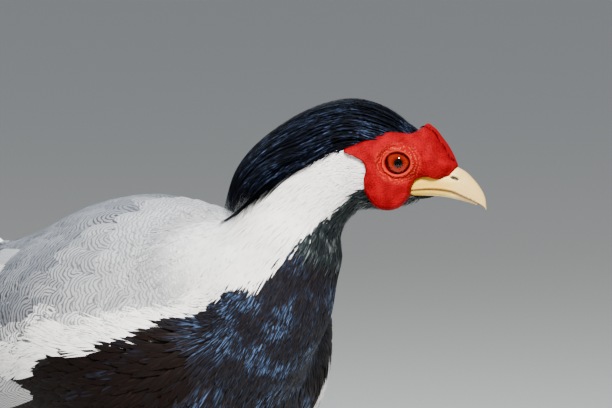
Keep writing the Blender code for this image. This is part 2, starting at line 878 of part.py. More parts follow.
def main():
    for old in list(bpy.data.objects):
        bpy.data.objects.remove(old)
    torso = shade(torso_shape())
    neck = neck_shape()
    combine(neck, [torso_shape(GAP), head_shape(GAP)], "DIFFERENCE")
    shade(neck)
    head = head_shape()
    cutters = [eyeball(1, GAP), eyeball(-1, GAP), upper_bill_shape(GAP), lower_bill_shape(GAP)]
    combine(head, cutters, "DIFFERENCE")
    shade(head)
    upper = combine(upper_bill_shape(), [nostril_cutter(1), nostril_cutter(-1)], "DIFFERENCE")
    shade(upper)
    shade(lower_bill_shape())
    for side, word in ((1, "left"), (-1, "right")):
        shade(named(face_shape(side), "face_" + word))
        shade(named(eyeball(side), "eye_" + word))
        wing_shape(side, "wing_" + word)
        tail_shape(side, "tail_" + word)
        shade(named(shank_shape(side), "shank_" + word))
        thigh_shape(side, "thigh_" + word)
        foot_shape(side, "foot_" + word)
        spur_shape(side, "spur_" + word)
        for toe, finger in enumerate(("inner", "middle", "outer", "hind")):
            claw_shape(side, toe, "claw_" + word + "_" + finger)
    undertail_shape()
    crest_shape()


main()
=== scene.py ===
# %% [markdown]
# # A silver pheasant cock
# The solids of the bird come in as a fixed frame. This lesson dresses them: one skin over the flesh,
# a coat of many thousand mesh feathers that lie along it, and a red face, eyes, bill and legs with
# detail at the scale of the real ones. Lengths are millimetres until a mesh is made.

# %% Load the frame
import math

import bpy
import numpy as np
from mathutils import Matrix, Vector, noise
from mathutils.bvhtree import BVHTree


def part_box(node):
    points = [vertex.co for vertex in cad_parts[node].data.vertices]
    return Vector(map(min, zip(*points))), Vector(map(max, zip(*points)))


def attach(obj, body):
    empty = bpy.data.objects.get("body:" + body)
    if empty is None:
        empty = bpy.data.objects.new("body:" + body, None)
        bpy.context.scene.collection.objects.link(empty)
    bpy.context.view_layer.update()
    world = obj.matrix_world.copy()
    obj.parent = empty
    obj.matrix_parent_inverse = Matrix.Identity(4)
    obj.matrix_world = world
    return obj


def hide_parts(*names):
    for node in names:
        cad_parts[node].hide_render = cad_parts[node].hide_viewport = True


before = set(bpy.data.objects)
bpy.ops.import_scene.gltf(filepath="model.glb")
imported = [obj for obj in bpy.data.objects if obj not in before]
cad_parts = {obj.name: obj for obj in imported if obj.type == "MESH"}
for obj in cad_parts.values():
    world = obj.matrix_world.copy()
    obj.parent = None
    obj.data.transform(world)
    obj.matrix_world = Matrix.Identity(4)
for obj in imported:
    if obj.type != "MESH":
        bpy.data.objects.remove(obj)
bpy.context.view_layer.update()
MM = 0.001
SIDES = ((1, "left"), (-1, "right"))
rng = np.random.default_rng(7)
print("nodes:", len(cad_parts))

# %% [markdown]
# ## Where things are
# Two local frames make every place easy to name. The head has its own: forward, left and up from the
# middle of the skull. It is worked out from the two eyeballs, so it follows the solids' turned head.
# The body has X forward and Z up, with X counted from the hips, and it is found from the torso's box.


# %% The head's and the body's own frames
def node_box(name):
    low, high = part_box(name)
    return np.array(low) / MM, np.array(high) / MM


def node_centre(name):
    low, high = node_box(name)
    return (low + high) / 2


def unit(v):
    return v / np.maximum(np.linalg.norm(v, axis=-1, keepdims=True), 1e-9)


UP = np.array([0.0, 0.0, 1.0])
EYE = np.array([3.0, 11.9, 1.5])  # an eyeball's centre in the head's frame
HEAD_LEFT = unit(node_centre("eye_left") - node_centre("eye_right"))
HEAD_FORWARD = np.cross(HEAD_LEFT, UP)
HEAD_AXES = np.array([HEAD_FORWARD, HEAD_LEFT, UP])
HEAD_MIDDLE = (node_centre("eye_left") + node_centre("eye_right")) / 2 - EYE[0] * HEAD_FORWARD - EYE[2] * UP
EYE_RADIUS = (node_box("eye_left")[1] - node_box("eye_left")[0])[2] / 2 + 0.1
TORSO_FRONT = 134.0  # the torso's front end in the body's frame
BODY_ORIGIN = np.array([node_box("torso")[1][0] - TORSO_FRONT, 0.0, 0.0])


def from_head(points):
    """From the head's frame to the row's."""
    return HEAD_MIDDLE + np.asarray(points, float) @ HEAD_AXES


def to_head(points):
    return (np.asarray(points, float) - HEAD_MIDDLE) @ HEAD_AXES.T


def from_body(points):
    return BODY_ORIGIN + np.asarray(points, float)


def to_body(points):
    return np.asarray(points, float) - BODY_ORIGIN


print("head middle:", HEAD_MIDDLE.round(1), "eye radius:", round(EYE_RADIUS, 2))

# %% [markdown]
# ## A spine to measure along
# Plumage is arranged round a curve from bill to tail. For any point, q is how far along that curve its
# nearest point is, and theta is the angle round it, 0 on the back and pi under the belly. A curve edited by
# hand would do as well. A list of places is easier to read, and the same on every run.

# %% The spine
HEAD_SPINE = [(30, 0, -4), (8, 0, 0), (-14, 0, 0), (-24, 0, -2)]
BODY_SPINE = [
    (151, 26, 298), (138.5, 14, 274), (121, 7, 247), (104, 2, 226), (78, -1, 212), (40, 0, 210),
    (-10, 0, 208), (-60, 0, 208), (-105, 0, 216), (-142, 0, 227), (-170, 0, 235), (-240, 0, 242),
]
SPINE = np.vstack([from_head(HEAD_SPINE), from_body(BODY_SPINE)])
SEGMENTS = np.diff(SPINE, axis=0)
SEGMENT_LENGTHS = np.linalg.norm(SEGMENTS, axis=1)
SPINE_Q = np.concatenate([[0], np.cumsum(SEGMENT_LENGTHS)])
SPINE_WAYS = unit(SEGMENTS)
SPINE_WAYS = unit(np.vstack([SPINE_WAYS[:1], unit(SPINE_WAYS[:-1] + SPINE_WAYS[1:]), SPINE_WAYS[-1:]]))
print("spine length:", round(SPINE_Q[-1]))

# %% [markdown]
# ## The unwrap
# q and theta together unroll the body like the label of a bottle. They serve as a map of the markings, as
# the lie of the coat, and as the bake map. An unwrap by seams wouldn't tell what is forward of what.


# %% The unwrap
def unwrap(points):
    """q, theta and the spine's direction towards the tail, for each point."""
    points = np.asarray(points, float)
    best = np.full(len(points), 1e9)
    q = np.zeros(len(points))
    centre = np.zeros((len(points), 3))
    way = np.zeros((len(points), 3))
    for i, (start, segment, length) in enumerate(zip(SPINE, SEGMENTS, SEGMENT_LENGTHS)):
        t = np.clip((points - start) @ segment / length**2, 0, 1)
        nearest = start + t[:, None] * segment
        distance = np.linalg.norm(points - nearest, axis=1)
        closer = distance < best
        best[closer] = distance[closer]
        q[closer] = SPINE_Q[i] + t[closer] * length
        centre[closer] = nearest[closer]
        mixed = SPINE_WAYS[i] + t[closer, None] * (SPINE_WAYS[i + 1] - SPINE_WAYS[i])
        way[closer] = unit(mixed)
    back = unit(UP - way * (way @ UP)[:, None])
    side = np.cross(way, back)
    out = points - centre
    theta = np.arctan2((out * side).sum(1), (out * back).sum(1))
    return q, theta, way


def ramp(x, low, high):
    """0 below low, 1 above high, eased between. Low may be the larger."""
    t = np.clip((np.asarray(x, float) - low) / (high - low), 0, 1)
    return t * t * (3 - 2 * t)


print("the torso's middle is at q", unwrap([node_centre("torso")])[0].round())

# %% [markdown]
# ## The markings
# White above and black below meet on a line that runs from behind the cheek down the side of the neck
# to the flank. The table gives its angle round the body in degrees. Ink is 1 for black, 0 for white.
# Bars is how strongly a white feather carries the fine black lines: none on the neck, strong behind.

# %% Ink and bars from q and theta
BORDER_Q = [0, 30, 50, 66, 90, 108, 123, 136, 152, 170, 200, 240, 330, 400, 470]
BORDER_DEGREES = [92, 104, 122, 134, 125, 130, 116, 101, 88, 86, 88, 97, 104, 112, 118]
FRINGE = math.radians(1.5)
# On the body the border's roots lie above its hanging tips, by these degrees
RISE_Q = [52, 60, 68, 78, 90, 102, 110, 118, 124, 134, 143, 155, 166, 176, 184, 192, 200, 215, 240, 270]
RISE_DEGREES = [-12, -12, -8, -3, 3, 9, 15, 22, 14, 1, -7, -7, -5, -4, -4, 0, 0, 1, 3, 0]


def border_gap(q, theta):
    """Degrees round the body from the black plumage, positive on the white side."""
    border = np.interp(q, BORDER_Q, BORDER_DEGREES) - np.interp(q, RISE_Q, RISE_DEGREES)
    # On the bird's left side the white of shoulder and flank reaches lower
    shoulder = 38 * ramp(q, 158, 170) * ramp(q, 245, 205) + 8 * ramp(q, 205, 225) * ramp(q, 320, 280)
    return border + np.where(theta > 0, shoulder, 0) - np.abs(np.degrees(theta))


def under_crest(q, theta):
    """1 where the crest hides the nape."""
    edge = np.interp(q, [44, 53, 61, 72, 78, 87, 95, 102, 108], [69, 62, 53, 43, 40, 36, 32, 24, 10])
    return ramp(np.abs(np.degrees(theta)), edge - 4, edge - 7) * ramp(q, 108, 102)


def crown(head):
    """1 on the top of the skull, from places in the head's frame."""
    return ramp(head[:, 2], 11.5, 13.5) * ramp(head[:, 0], -34, -28)


def ink(q, theta, head):
    """How black the plumage is: belly, breast and chin, and the crown and nape under the crest."""
    gap = np.radians(border_gap(q, theta))
    below = ramp(gap, FRINGE, -FRINGE)
    return np.maximum(np.maximum(below, crown(head)), under_crest(q, theta))


def bars(q):
    """How strong the fine black lines are."""
    return 0.55 * ramp(q, 108, 140) + 0.45 * ramp(q, 140, 215)


print("border at the breast:", round(np.interp(160, BORDER_Q, BORDER_DEGREES), 1), "degrees")

# %% [markdown]
# ## Meshes from arrays
# Every feather is one small grid of quads. Thousands of them are worked out together as numpy arrays
# and written into a single mesh, which is far faster than adding objects one by one.


# %% Mesh helpers
def new_mesh(name, points, quads, corner_maps=None, point_values=None):
    """A mesh object from arrays. corner_maps are UV maps given per point, point_values are floats."""
    points = np.asarray(points, np.float32) * np.float32(MM)
    quads = np.asarray(quads, np.int32)
    sides = quads.shape[1]
    mesh = bpy.data.meshes.new(name)
    mesh.vertices.add(len(points))
    mesh.vertices.foreach_set("co", points.ravel())
    mesh.loops.add(quads.size)
    mesh.loops.foreach_set("vertex_index", quads.ravel())
    mesh.polygons.add(len(quads))
    mesh.polygons.foreach_set("loop_start", np.arange(0, quads.size, sides, dtype=np.int32))
    mesh.update(calc_edges=True)
    for label, uv in (corner_maps or {}).items():
        layer = mesh.uv_layers.new(name=label)
        layer.data.foreach_set("uv", np.asarray(uv, np.float32)[quads.ravel()].ravel())
    for label, values in (point_values or {}).items():
        attribute = mesh.attributes.new(label, "FLOAT", "POINT")
        attribute.data.foreach_set("value", np.asarray(values, np.float32))
    mesh.polygons.foreach_set("use_smooth", np.full(len(quads), True))
    made = bpy.data.objects.new(name, mesh)
    bpy.context.scene.collection.objects.link(made)
    return made


def grid_quads(rows, columns, wrap=False):
    """Quads of a rows by columns grid of points, closed round its columns if wrap."""
    r, c = np.meshgrid(np.arange(rows - 1), np.arange(columns if wrap else columns - 1), indexing="ij")
    right = (c + 1) % columns
    here, below = r * columns, (r + 1) * columns
    quads = np.stack([here + c, here + right, below + right, below + c], -1)
    return quads.reshape(-1, 4)


def repeated(quads, count, step):
    """The same quads for each of count copies, step points apart."""
    return (quads[None] + np.arange(count)[:, None, None] * step).reshape(-1, quads.shape[1])


print("grid of one feather, 5 by 9:", len(grid_quads(9, 5)), "quads")

# %% [markdown]
# ## Reading meshes back
# A solid of the frame is a Blender object. To work on its shape with numpy, its points and triangles are
# read into arrays, with the effect of its modifiers, and several solids can be put into one mesh.


# %% Read and join
def mesh_arrays(obj):
    """Points in millimetres, triangles and point normals of an object with its modifiers applied."""
    graph = bpy.context.evaluated_depsgraph_get()
    mesh = bpy.data.meshes.new_from_object(obj.evaluated_get(graph))
    mesh.calc_loop_triangles()
    points = np.empty(len(mesh.vertices) * 3)
    mesh.vertices.foreach_get("co", points)
    normals = np.empty(len(mesh.vertices) * 3)
    mesh.vertices.foreach_get("normal", normals)
    triangles = np.empty(len(mesh.loop_triangles) * 3, np.int32)
    mesh.loop_triangles.foreach_get("vertices", triangles)
    bpy.data.meshes.remove(mesh)
    return points.reshape(-1, 3) / MM, triangles.reshape(-1, 3), normals.reshape(-1, 3)


def joined_copy(name, nodes, extra=()):
    """One mesh of several CAD nodes and extra (points, faces) pairs."""
    points, faces = [], []
    for node in nodes:
        p, t, _ = mesh_arrays(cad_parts[node])
        faces.append(t + sum(len(a) for a in points))
        points.append(p)
    for p, quads in extra:
        base = sum(len(a) for a in points)
        split = np.vstack([quads[:, [0, 1, 2]], quads[:, [0, 2, 3]]])
        faces.append(split + base)
        points.append(p)
    return new_mesh(name, np.vstack(points), np.vstack(faces))


print("torso:", len(mesh_arrays(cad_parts["torso"])[1]), "triangles")

# %% [markdown]
# ## Smoothing helpers
# The Remesh modifier turns overlapping shapes into one closed surface of small even faces, and the Smooth
# modifier takes the steps out of it. A vertex group says how much of the smoothing each point takes.


# %% Remesh, soften and even out
def remeshed(obj, voxel, rounds):
    """Points, triangles and normals after a voxel remesh and some smoothing. The object is used up."""
    step = obj.modifiers.new("voxels", "REMESH")
    step.mode = "VOXEL"
    step.voxel_size = voxel * MM
    soften = obj.modifiers.new("soften", "SMOOTH")
    soften.factor = 0.5
    soften.iterations = rounds
    result = mesh_arrays(obj)
    bpy.data.objects.remove(obj)
    return result


def softened(points, faces, weights, rounds):
    """Points and normals after smoothing by each point's own weight."""
    obj = new_mesh("soft", points, faces)
    group = obj.vertex_groups.new(name="soft")
    for level in range(1, 11):
        chosen = np.flatnonzero(np.round(weights * 10) == level)
        group.add(chosen.tolist(), level / 10, "REPLACE")
    step = obj.modifiers.new("soften", "SMOOTH")
    step.factor = 0.5
    step.iterations = rounds
    step.vertex_group = "soft"
    made, _, ways = mesh_arrays(obj)
    bpy.data.objects.remove(obj)
    return made, ways


def evened(values, faces, rounds):
    """Values per point after averaging with their neighbours."""
    near = np.vstack([faces[:, [0, 1]], faces[:, [1, 2]], faces[:, [2, 0]]])
    count = np.bincount(near[:, 0], minlength=len(values))
    for _ in range(rounds):
        around = np.bincount(near[:, 0], weights=values[near[:, 1]], minlength=len(values)) / count
        values = (values + around) / 2
    return values


print("one round of evening out:", evened(np.array([0.0, 0.0, 1.0]), np.array([[0, 1, 2]]), 1))

# %% [markdown]
# ## The folded wing's surface
# The folded wings lie in a smooth hull round the body. A place on it is x along the body, the angle up
# from the side, and a lift off the hull. Skin, coverts and quills all use it.

# %% Wing hull
# x, half width, top, bottom
WING_HULL = np.array([
    (-230, 32, 230, 200), (-180, 40, 235, 190), (-130, 50, 241, 177), (-80, 64, 251, 162),
    (-30, 77, 270, 152), (20, 82, 281, 147), (60, 77, 282, 149), (100, 58, 270, 156),
], float)


def smooth_column(x, table, column):
    """A column of a station table, interpolated with eased slopes."""
    xs, ys = table[:, 0], table[:, column]
    slopes = np.gradient(ys, xs)
    i = np.clip(np.searchsorted(xs, x) - 1, 0, len(xs) - 2)
    h = xs[i + 1] - xs[i]
    t = np.clip((x - xs[i]) / h, 0, 1)
    a = (1 + 2 * t) * (1 - t) ** 2 * ys[i] + t * (1 - t) ** 2 * h * slopes[i]
    return a + t * t * (3 - 2 * t) * ys[i + 1] + t * t * (t - 1) * h * slopes[i + 1]


def wing_place(side, x, degrees, lift):
    """Points on the wing hull and the directions out of it."""
    x, degrees, lift = np.broadcast_arrays(*(np.asarray(v, float) for v in (x, degrees, lift)))
    half_width = smooth_column(x, WING_HULL, 1)
    top, bottom = smooth_column(x, WING_HULL, 2), smooth_column(x, WING_HULL, 3)
    a, height = np.radians(degrees), (top - bottom) / 2
    out = unit(np.stack([0 * x, side * np.cos(a) / half_width, np.sin(a) / height], -1))
    place = np.stack([x, side * half_width * np.cos(a), (top + bottom) / 2 + height * np.sin(a)], -1)
    return from_body(place + out * lift[..., None]), out


print("wing hull width at the hips:", round(float(smooth_column(np.array(0.0), WING_HULL, 1)), 1))

# %% [markdown]
# ## The pad of the wing
# Under the quills of a folded wing lie its arm and down. This is a closed shell between two layers of the
# hull. It only joins the skin, so that the coat swells over the shoulder as it does on the bird.


# %% Wing pad
def wing_pad(side):
    """The fleshy and downy part of the wing as a closed shell, thickest over the elbow."""
    rows, count = 18, 14
    made = []
    for x in np.linspace(98, -84, rows):
        taper = math.sin(math.pi * min(max((102 - x) / 196, 0.03), 0.97)) ** 0.5
        angles = np.linspace(22 - 48 * taper, 22 + 46 * taper, count)
        bulge = np.sin(np.linspace(0, math.pi, count)) ** 0.5
        outer, _ = wing_place(side, x, angles, -3 + 6.0 * taper * bulge)
        inner, _ = wing_place(side, x, angles[::-1], -16.0)
        made.append(np.vstack([outer, inner]))
    points = np.vstack(made)
    ring = 2 * count
    quads = grid_quads(rows, ring, wrap=True)
    caps = []
    for start in (0, (rows - 1) * ring):
        for k in range(count - 1):
            caps.append((start + k, start + k + 1, start + ring - 2 - k, start + ring - 1 - k))
    return points, np.vstack([quads, np.array(caps)])


print("wing pad:", len(wing_pad(1)[1]), "faces")

# %% [markdown]
# ## Flesh in one piece
# Torso, neck, head, thighs and wing pads are joined, remeshed into one closed surface and smoothed, so
# that no seam is left. Four ellipsoids fill the shoulder, the neck's base, the crop and the vent, as
# muscle and down do. Joining by booleans would leave hard creases.

# %% One body
FLESH = ("torso", "neck", "head", "thigh_left", "thigh_right")
VOXEL = 2.2
SOFTENING = 14


def ellipsoid(centre, radii, rows=14, around=24):
    down = np.linspace(0.05, math.pi - 0.05, rows)[:, None]
    turn = np.linspace(0, math.tau, around, endpoint=False)
    ring = np.stack([np.sin(down) * np.cos(turn), np.sin(down) * np.sin(turn), np.cos(down) + 0 * turn], -1)
    return from_body(np.array(centre) + ring.reshape(-1, 3) * radii), grid_quads(rows, around, wrap=True)


SHOULDER = ellipsoid((94, -1, 224), (36, 50, 40))
NECK_BASE = ellipsoid((96, -2, 240), (37, 45, 41))
CROP = ellipsoid((86, 17, 224), (42, 46, 44))
VENT = ellipsoid((-134, 0, 184), (24, 15, 11))
flesh = joined_copy("flesh", FLESH, [wing_pad(1), wing_pad(-1), SHOULDER, NECK_BASE, CROP, VENT])
rough, triangles, _ = remeshed(flesh, VOXEL, SOFTENING)
print("flesh:", len(triangles), "triangles")

# %% [markdown]
# ## Breast, throat and chin
# Smoothing shrinks what bulges. The breast gets back what it lost, the throat is filled out as loose
# feathers fill it, and the chin is drawn up under the bill. The head is left sharp, because its feathers
# are short.

# %% Fill out the front
BODY_ROUNDS = 50
FULLER = 1.5  # how much of the smoothing's shrinkage the breast gets back
THROAT_FILL = 3.4
CHIN_UP = 2.6
head_like = ramp(unwrap(rough)[0], 78, 56)
surface, normals = softened(rough, triangles, 1 - head_like, BODY_ROUNDS)
q_all, theta_all, _ = unwrap(surface)
front = ramp(np.abs(np.degrees(theta_all)), 55, 100) * ramp(q_all, 80, 98) * ramp(q_all, 230, 180)
lost = evened(((rough - surface) * normals).sum(1), triangles, 60)
throat_share = ramp(q_all, 78, 94) * ramp(q_all, 144, 124)
filling = front * (FULLER * np.clip(lost + 0.8, 0, 7) + THROAT_FILL * throat_share)
surface = surface + normals * filling[:, None]
in_front = to_head(surface)
chin = ramp(in_front[:, 0], 9, 25) * ramp(in_front[:, 2], -9, -12)
in_front = in_front + np.stack([0 * chin, -0.35 * chin * in_front[:, 1], CHIN_UP * chin], -1)
surface = np.where(chin[:, None] > 0, from_head(in_front), surface)
print("most that the front was filled:", round(float(filling.max()), 1), "mm")

# %% [markdown]
# ## The skin under the coat
# The plumage surface lies a little inside the solids, where the feathers' tips will end, and the skin lies
# deeper, where their roots are. The skin carries the same markings as the coat, so that a gap between two
# feathers shows the right colour.

# %% Skin
TIP_ROOM = 1.3  # feathers' tips stand this far over the plumage surface
COAT_DEPTH = 2.4  # and their roots this far under it
coat_scale = 1 - 0.55 * head_like
surface = surface - normals * (TIP_ROOM * coat_scale)[:, None]
skin_points = surface - normals * (COAT_DEPTH * coat_scale)[:, None]
q_all, theta_all, _ = unwrap(surface)
skin = new_mesh(
    "skin",
    skin_points,
    triangles,
    {"OFBake": np.stack([q_all / 520, theta_all / math.tau + 0.5], -1)},
    {"ink": ink(q_all, theta_all, to_head(surface)), "bars": bars(q_all)},
)
surface_tree = BVHTree.FromPolygons(surface.tolist(), triangles.tolist())
print("skin:", len(surface), "points")

# %% [markdown]
# ## Sowing feathers
# Roots are drawn at random over the surface, and one that is too near to an earlier root is dropped, so
# they end up evenly spread but not in a grid. Blender's Distribute Points node has a Poisson Disk mode that
# does the same. Here each place has its own spacing, which asks for a loop of our own.


# %% Roots
def surface_samples(count, keep):
    """Random points on the plumage surface, as dense as keep(points) says."""
    a, b, c = (surface[triangles[:, k]] for k in range(3))
    share = np.linalg.norm(np.cross(b - a, c - a), axis=1) * keep((a + b + c) / 3)
    picked = rng.choice(len(triangles), count, p=share / share.sum())
    u, v = rng.random(count), rng.random(count)
    flip = u + v > 1
    u[flip], v[flip] = 1 - u[flip], 1 - v[flip]
    weights = np.stack([1 - u - v, u, v], -1)
    points = (surface[triangles[picked]] * weights[..., None]).sum(1)
    ways = unit((normals[triangles[picked]] * weights[..., None]).sum(1))
    return points, ways


def spread(points, spacing):
    """Indices of points that keep their own spacing from the earlier ones."""
    cell = float(spacing.max())
    cells = np.floor(points / cell).astype(int)
    filled, chosen = {}, []
    near = [(i, j, k) for i in (-1, 0, 1) for j in (-1, 0, 1) for k in (-1, 0, 1)]
    places, reach = points.tolist(), (spacing**2).tolist()
    for index, (x, y, z) in enumerate(cells.tolist()):
        px, py, pz = places[index]
        limit = reach[index]
        free = True
        for i, j, k in near:
            for ox, oy, oz in filled.get((x + i, y + j, z + k), ()):
                if (px - ox) ** 2 + (py - oy) ** 2 + (pz - oz) ** 2 < limit:
                    free = False
                    break
            if not free:
                break
        if free:
            filled.setdefault((x, y, z), []).append((px, py, pz))
            chosen.append(index)
    return np.array(chosen)


print("plumage surface:", len(triangles), "triangles to sow on")

# %% [markdown]
# ## The nearest place on the surface
# A long feather has to follow the body's curve, so points along it are pulled to the plumage surface. The
# surface's normal is blended over each triangle, or the feathers would tilt in facets.


# %% Snap to the surface
def snap(points):
    """The nearest points of the plumage surface, with smooth normals."""
    found = [surface_tree.find_nearest(p) for p in points.tolist()]
    places = np.array([f[0][:] for f in found])
    corners = triangles[np.array([f[2] for f in found])]
    a, b, c = (surface[corners[:, k]] for k in range(3))
    ab, ac, ap = b - a, c - a, places - a
    d00, d01, d11 = (ab * ab).sum(1), (ab * ac).sum(1), (ac * ac).sum(1)
    d20, d21 = (ap * ab).sum(1), (ap * ac).sum(1)
    scale = np.maximum(d00 * d11 - d01 * d01, 1e-12)
    v, w = (d11 * d20 - d01 * d21) / scale, (d00 * d21 - d01 * d20) / scale
    weights = np.stack([1 - v - w, v, w], -1)
    return places, unit((normals[corners] * weights[..., None]).sum(1))


print("snapped from the torso's middle:", snap(np.array([node_centre("torso")]))[0].round(1))

# %% [markdown]
# ## The lie of the coat
# Feathers lie backwards along the spine, flat on the surface. They sink a little on the flank, turn down
# the legs on the thighs, and beside the line between white and black they run along that line, which keeps
# it crisp. Each one strays by a few degrees.


# %% The lie of the coat
THIGH_WAY = np.array([-0.25, 0, -1.1])  # down the leg and a little back
FLANK_SINK = 0.28


def lie(points, ways, wobble=5.0):
    """The direction that feathers point in, flat on the surface."""
    q, theta, along = unwrap(points)
    body = to_body(points)
    on_thigh = ramp(body[:, 2], 172, 150) * ramp(np.abs(body[:, 1]), 18, 28) * ramp(q, 150, 200)
    along = along + on_thigh[:, None] * (THIGH_WAY - along)
    flank = ramp(np.abs(np.degrees(theta)), 80, 130) * ramp(q, 100, 170)
    along = along - UP * (FLANK_SINK * flank * (1 - on_thigh))[:, None]
    gap = border_gap(q, theta)
    slope = np.radians(border_gap(q + 6, theta) - border_gap(q - 6, theta)) / 12
    round_ = np.cross(along, ways) * np.sign(theta)[:, None]
    round_ *= np.sign((round_ * -UP).sum(1))[:, None] * np.sign(np.abs(theta) - 0.2)[:, None]
    beside = np.exp(-((gap / 24) ** 2)) * ramp(q, 112, 140) * ramp(q, 345, 300)
    radius = 62 * ramp(q, 60, 190) + 20
    wanted = np.clip(slope * radius, -0.5, 0.9) + 0.10
    drop = (unit(along) * -UP).sum(1)
    flatter = unit(along + UP * drop[:, None]) + round_ * wanted[:, None]
    along = along + (flatter - along) * (beside * (1 - on_thigh))[:, None]
    flat = unit(along - ways * (along * ways).sum(1)[:, None])
    turn = np.radians(rng.normal(0, wobble, len(points)))[:, None]
    return unit(flat * np.cos(turn) + np.cross(ways, flat) * np.sin(turn))


print("the flank's feathers sink by", round(math.degrees(math.atan(FLANK_SINK))), "degrees")

# %% [markdown]
# ## A feather's middle line
# The line bends from a root under the coat, over a point on the surface half way, to a tip just above the
# surface, so that the feather hugs the body. A straight line would stick out of the breast like a scale
# of a pine cone.


# %% Middle lines
def feather_steps(rows):
    """Shares of a feather's length, closer together towards its tip."""
    return 1 - (1 - np.linspace(0, 1, rows)) ** 1.5


def middle_lines(roots, root_ways, directions, lengths, depth, lift, count):
    """Quadratic curves that hug the surface, and the directions out of it, at count steps."""
    depth = np.broadcast_to(depth, len(roots))[:, None]
    lift = np.broadcast_to(lift, len(roots))[:, None]
    half, half_ways = snap(roots + directions * lengths[:, None] / 2)
    tips, tip_ways = snap(roots + directions * lengths[:, None])
    start = roots - root_ways * depth
    through = half + half_ways * lift * 0.55
    end = tips + tip_ways * lift
    control = 2 * through - (start + end) / 2
    t = feather_steps(count)[None, :, None]
    line = (1 - t) ** 2 * start[:, None] + 2 * t * (1 - t) * control[:, None] + t * t * end[:, None]
    outward = (1 - t) * root_ways[:, None] + t * tip_ways[:, None]
    return line, unit(outward)


print("steps along a feather:", feather_steps(5).round(2))

# %% [markdown]
# ## Outlines
# Mantle feathers are rounded, breast feathers are lances, and the hair-like ones of neck and crest are
# strands. Each outline says how wide the feather is at a share t of its length.


# %% Outlines
def vane_profile(t):
    """Half width along a rounded feather, as a share of the widest place."""
    body = 0.45 + 0.55 * np.sin(np.clip(t / 0.5, 0, 1) * math.pi / 2)
    return body * np.sqrt(np.clip(1 - np.clip(t - 0.62, 0, 1) ** 2 / 0.1444, 0.012, 1))


def lance_profile(t):
    """Half width along a narrow pointed feather."""
    return (0.5 + 0.5 * np.sin(np.clip(t / 0.4, 0, 1) * math.pi / 2)) * np.clip(1 - t, 0, 1) ** 0.62 * 1.25


def strand_profile(t):
    return (0.7 + 0.3 * np.sin(math.pi * t)) * np.clip(1 - t, 0.0, 1) ** 0.5


print("vane half widths:", vane_profile(np.linspace(0, 1, 5)).round(2))

# %% [markdown]
# ## One function for every small feather
# A feather is a grid, laid along its middle line. Its sides hang a little lower than its shaft. Columns
# can end at uneven lengths, which gives the tip its loose barbs. The two maps are Feather, for drawing on
# each vane, and OFBake. The hair system of Blender could grow this coat too, but a solid mesh exports.


# %% Feather grids
def feather_grids(name, line, outward, half_widths, profile, columns, values, bake_at,
                  camber=0.15, ragged=0.0, twist=0.0):
    """One mesh of all feathers. line and outward are (feathers, rows, 3)."""
    count, rows, _ = line.shape
    t = feather_steps(rows)
    along = unit(np.gradient(line, axis=1))
    side = unit(np.cross(along, outward))
    over = np.cross(side, along)
    across = np.linspace(-1, 1, columns)
    width = half_widths[:, None] * profile(t)[None]
    offset = width[:, :, None] * across[None, None, :]
    roll = twist * rng.normal(0, 1, count)[:, None, None]
    rise = offset * roll - camber * width[:, :, None] * (across**2)[None, None]
    grid = line[:, :, None] + side[:, :, None] * offset[..., None] + over[:, :, None] * rise[..., None]
    if ragged:
        short = rng.random((count, 1, columns)) * ragged
        pull = (t[None, :, None] ** 5) * short
        grid = grid - along[:, :, None] * pull[..., None]
    points = grid.reshape(-1, 3)
    shape = (count, rows, columns)
    u = np.broadcast_to(0.5 + 0.5 * across[None, None] * profile(t)[None, :, None], shape)
    v = np.broadcast_to(t[None, :, None], shape)
    local = np.stack([u, v], -1).reshape(-1, 2)
    q, theta, _ = unwrap(bake_at)
    patch = np.stack([q / 520, theta / math.tau + 0.5], -1)
    bake = np.repeat(patch, rows * columns, axis=0) + (local - 0.5) * 0.003
    spread_values = {k: np.repeat(np.broadcast_to(x, count), rows * columns) for k, x in values.items()}
    quads = repeated(grid_quads(rows, columns), count, rows * columns)
    made = new_mesh(name, points, quads, {"Feather": local, "OFBake": bake}, spread_values)
    print(name, count, "feathers,", 2 * len(quads), "triangles")
    return made


def strand_values(count, lines, half, gloss):
    """Values of black strands that all share one size: black lines along, half across, and painted gloss."""
    return {
        "lines": np.full(count, lines),
        "half": np.full(count, half),
        "gloss": rng.random(count) * gloss,
        "tone": rng.random(count),
    }


print("a strand of 6 by 3 points:", 2 * len(grid_quads(6, 3)), "triangles")

# %% [markdown]
# ## Short words for nodes
# Every material here is a tree of nodes, as in the Shader Editor. This class has a short word for each node
# that is used often.


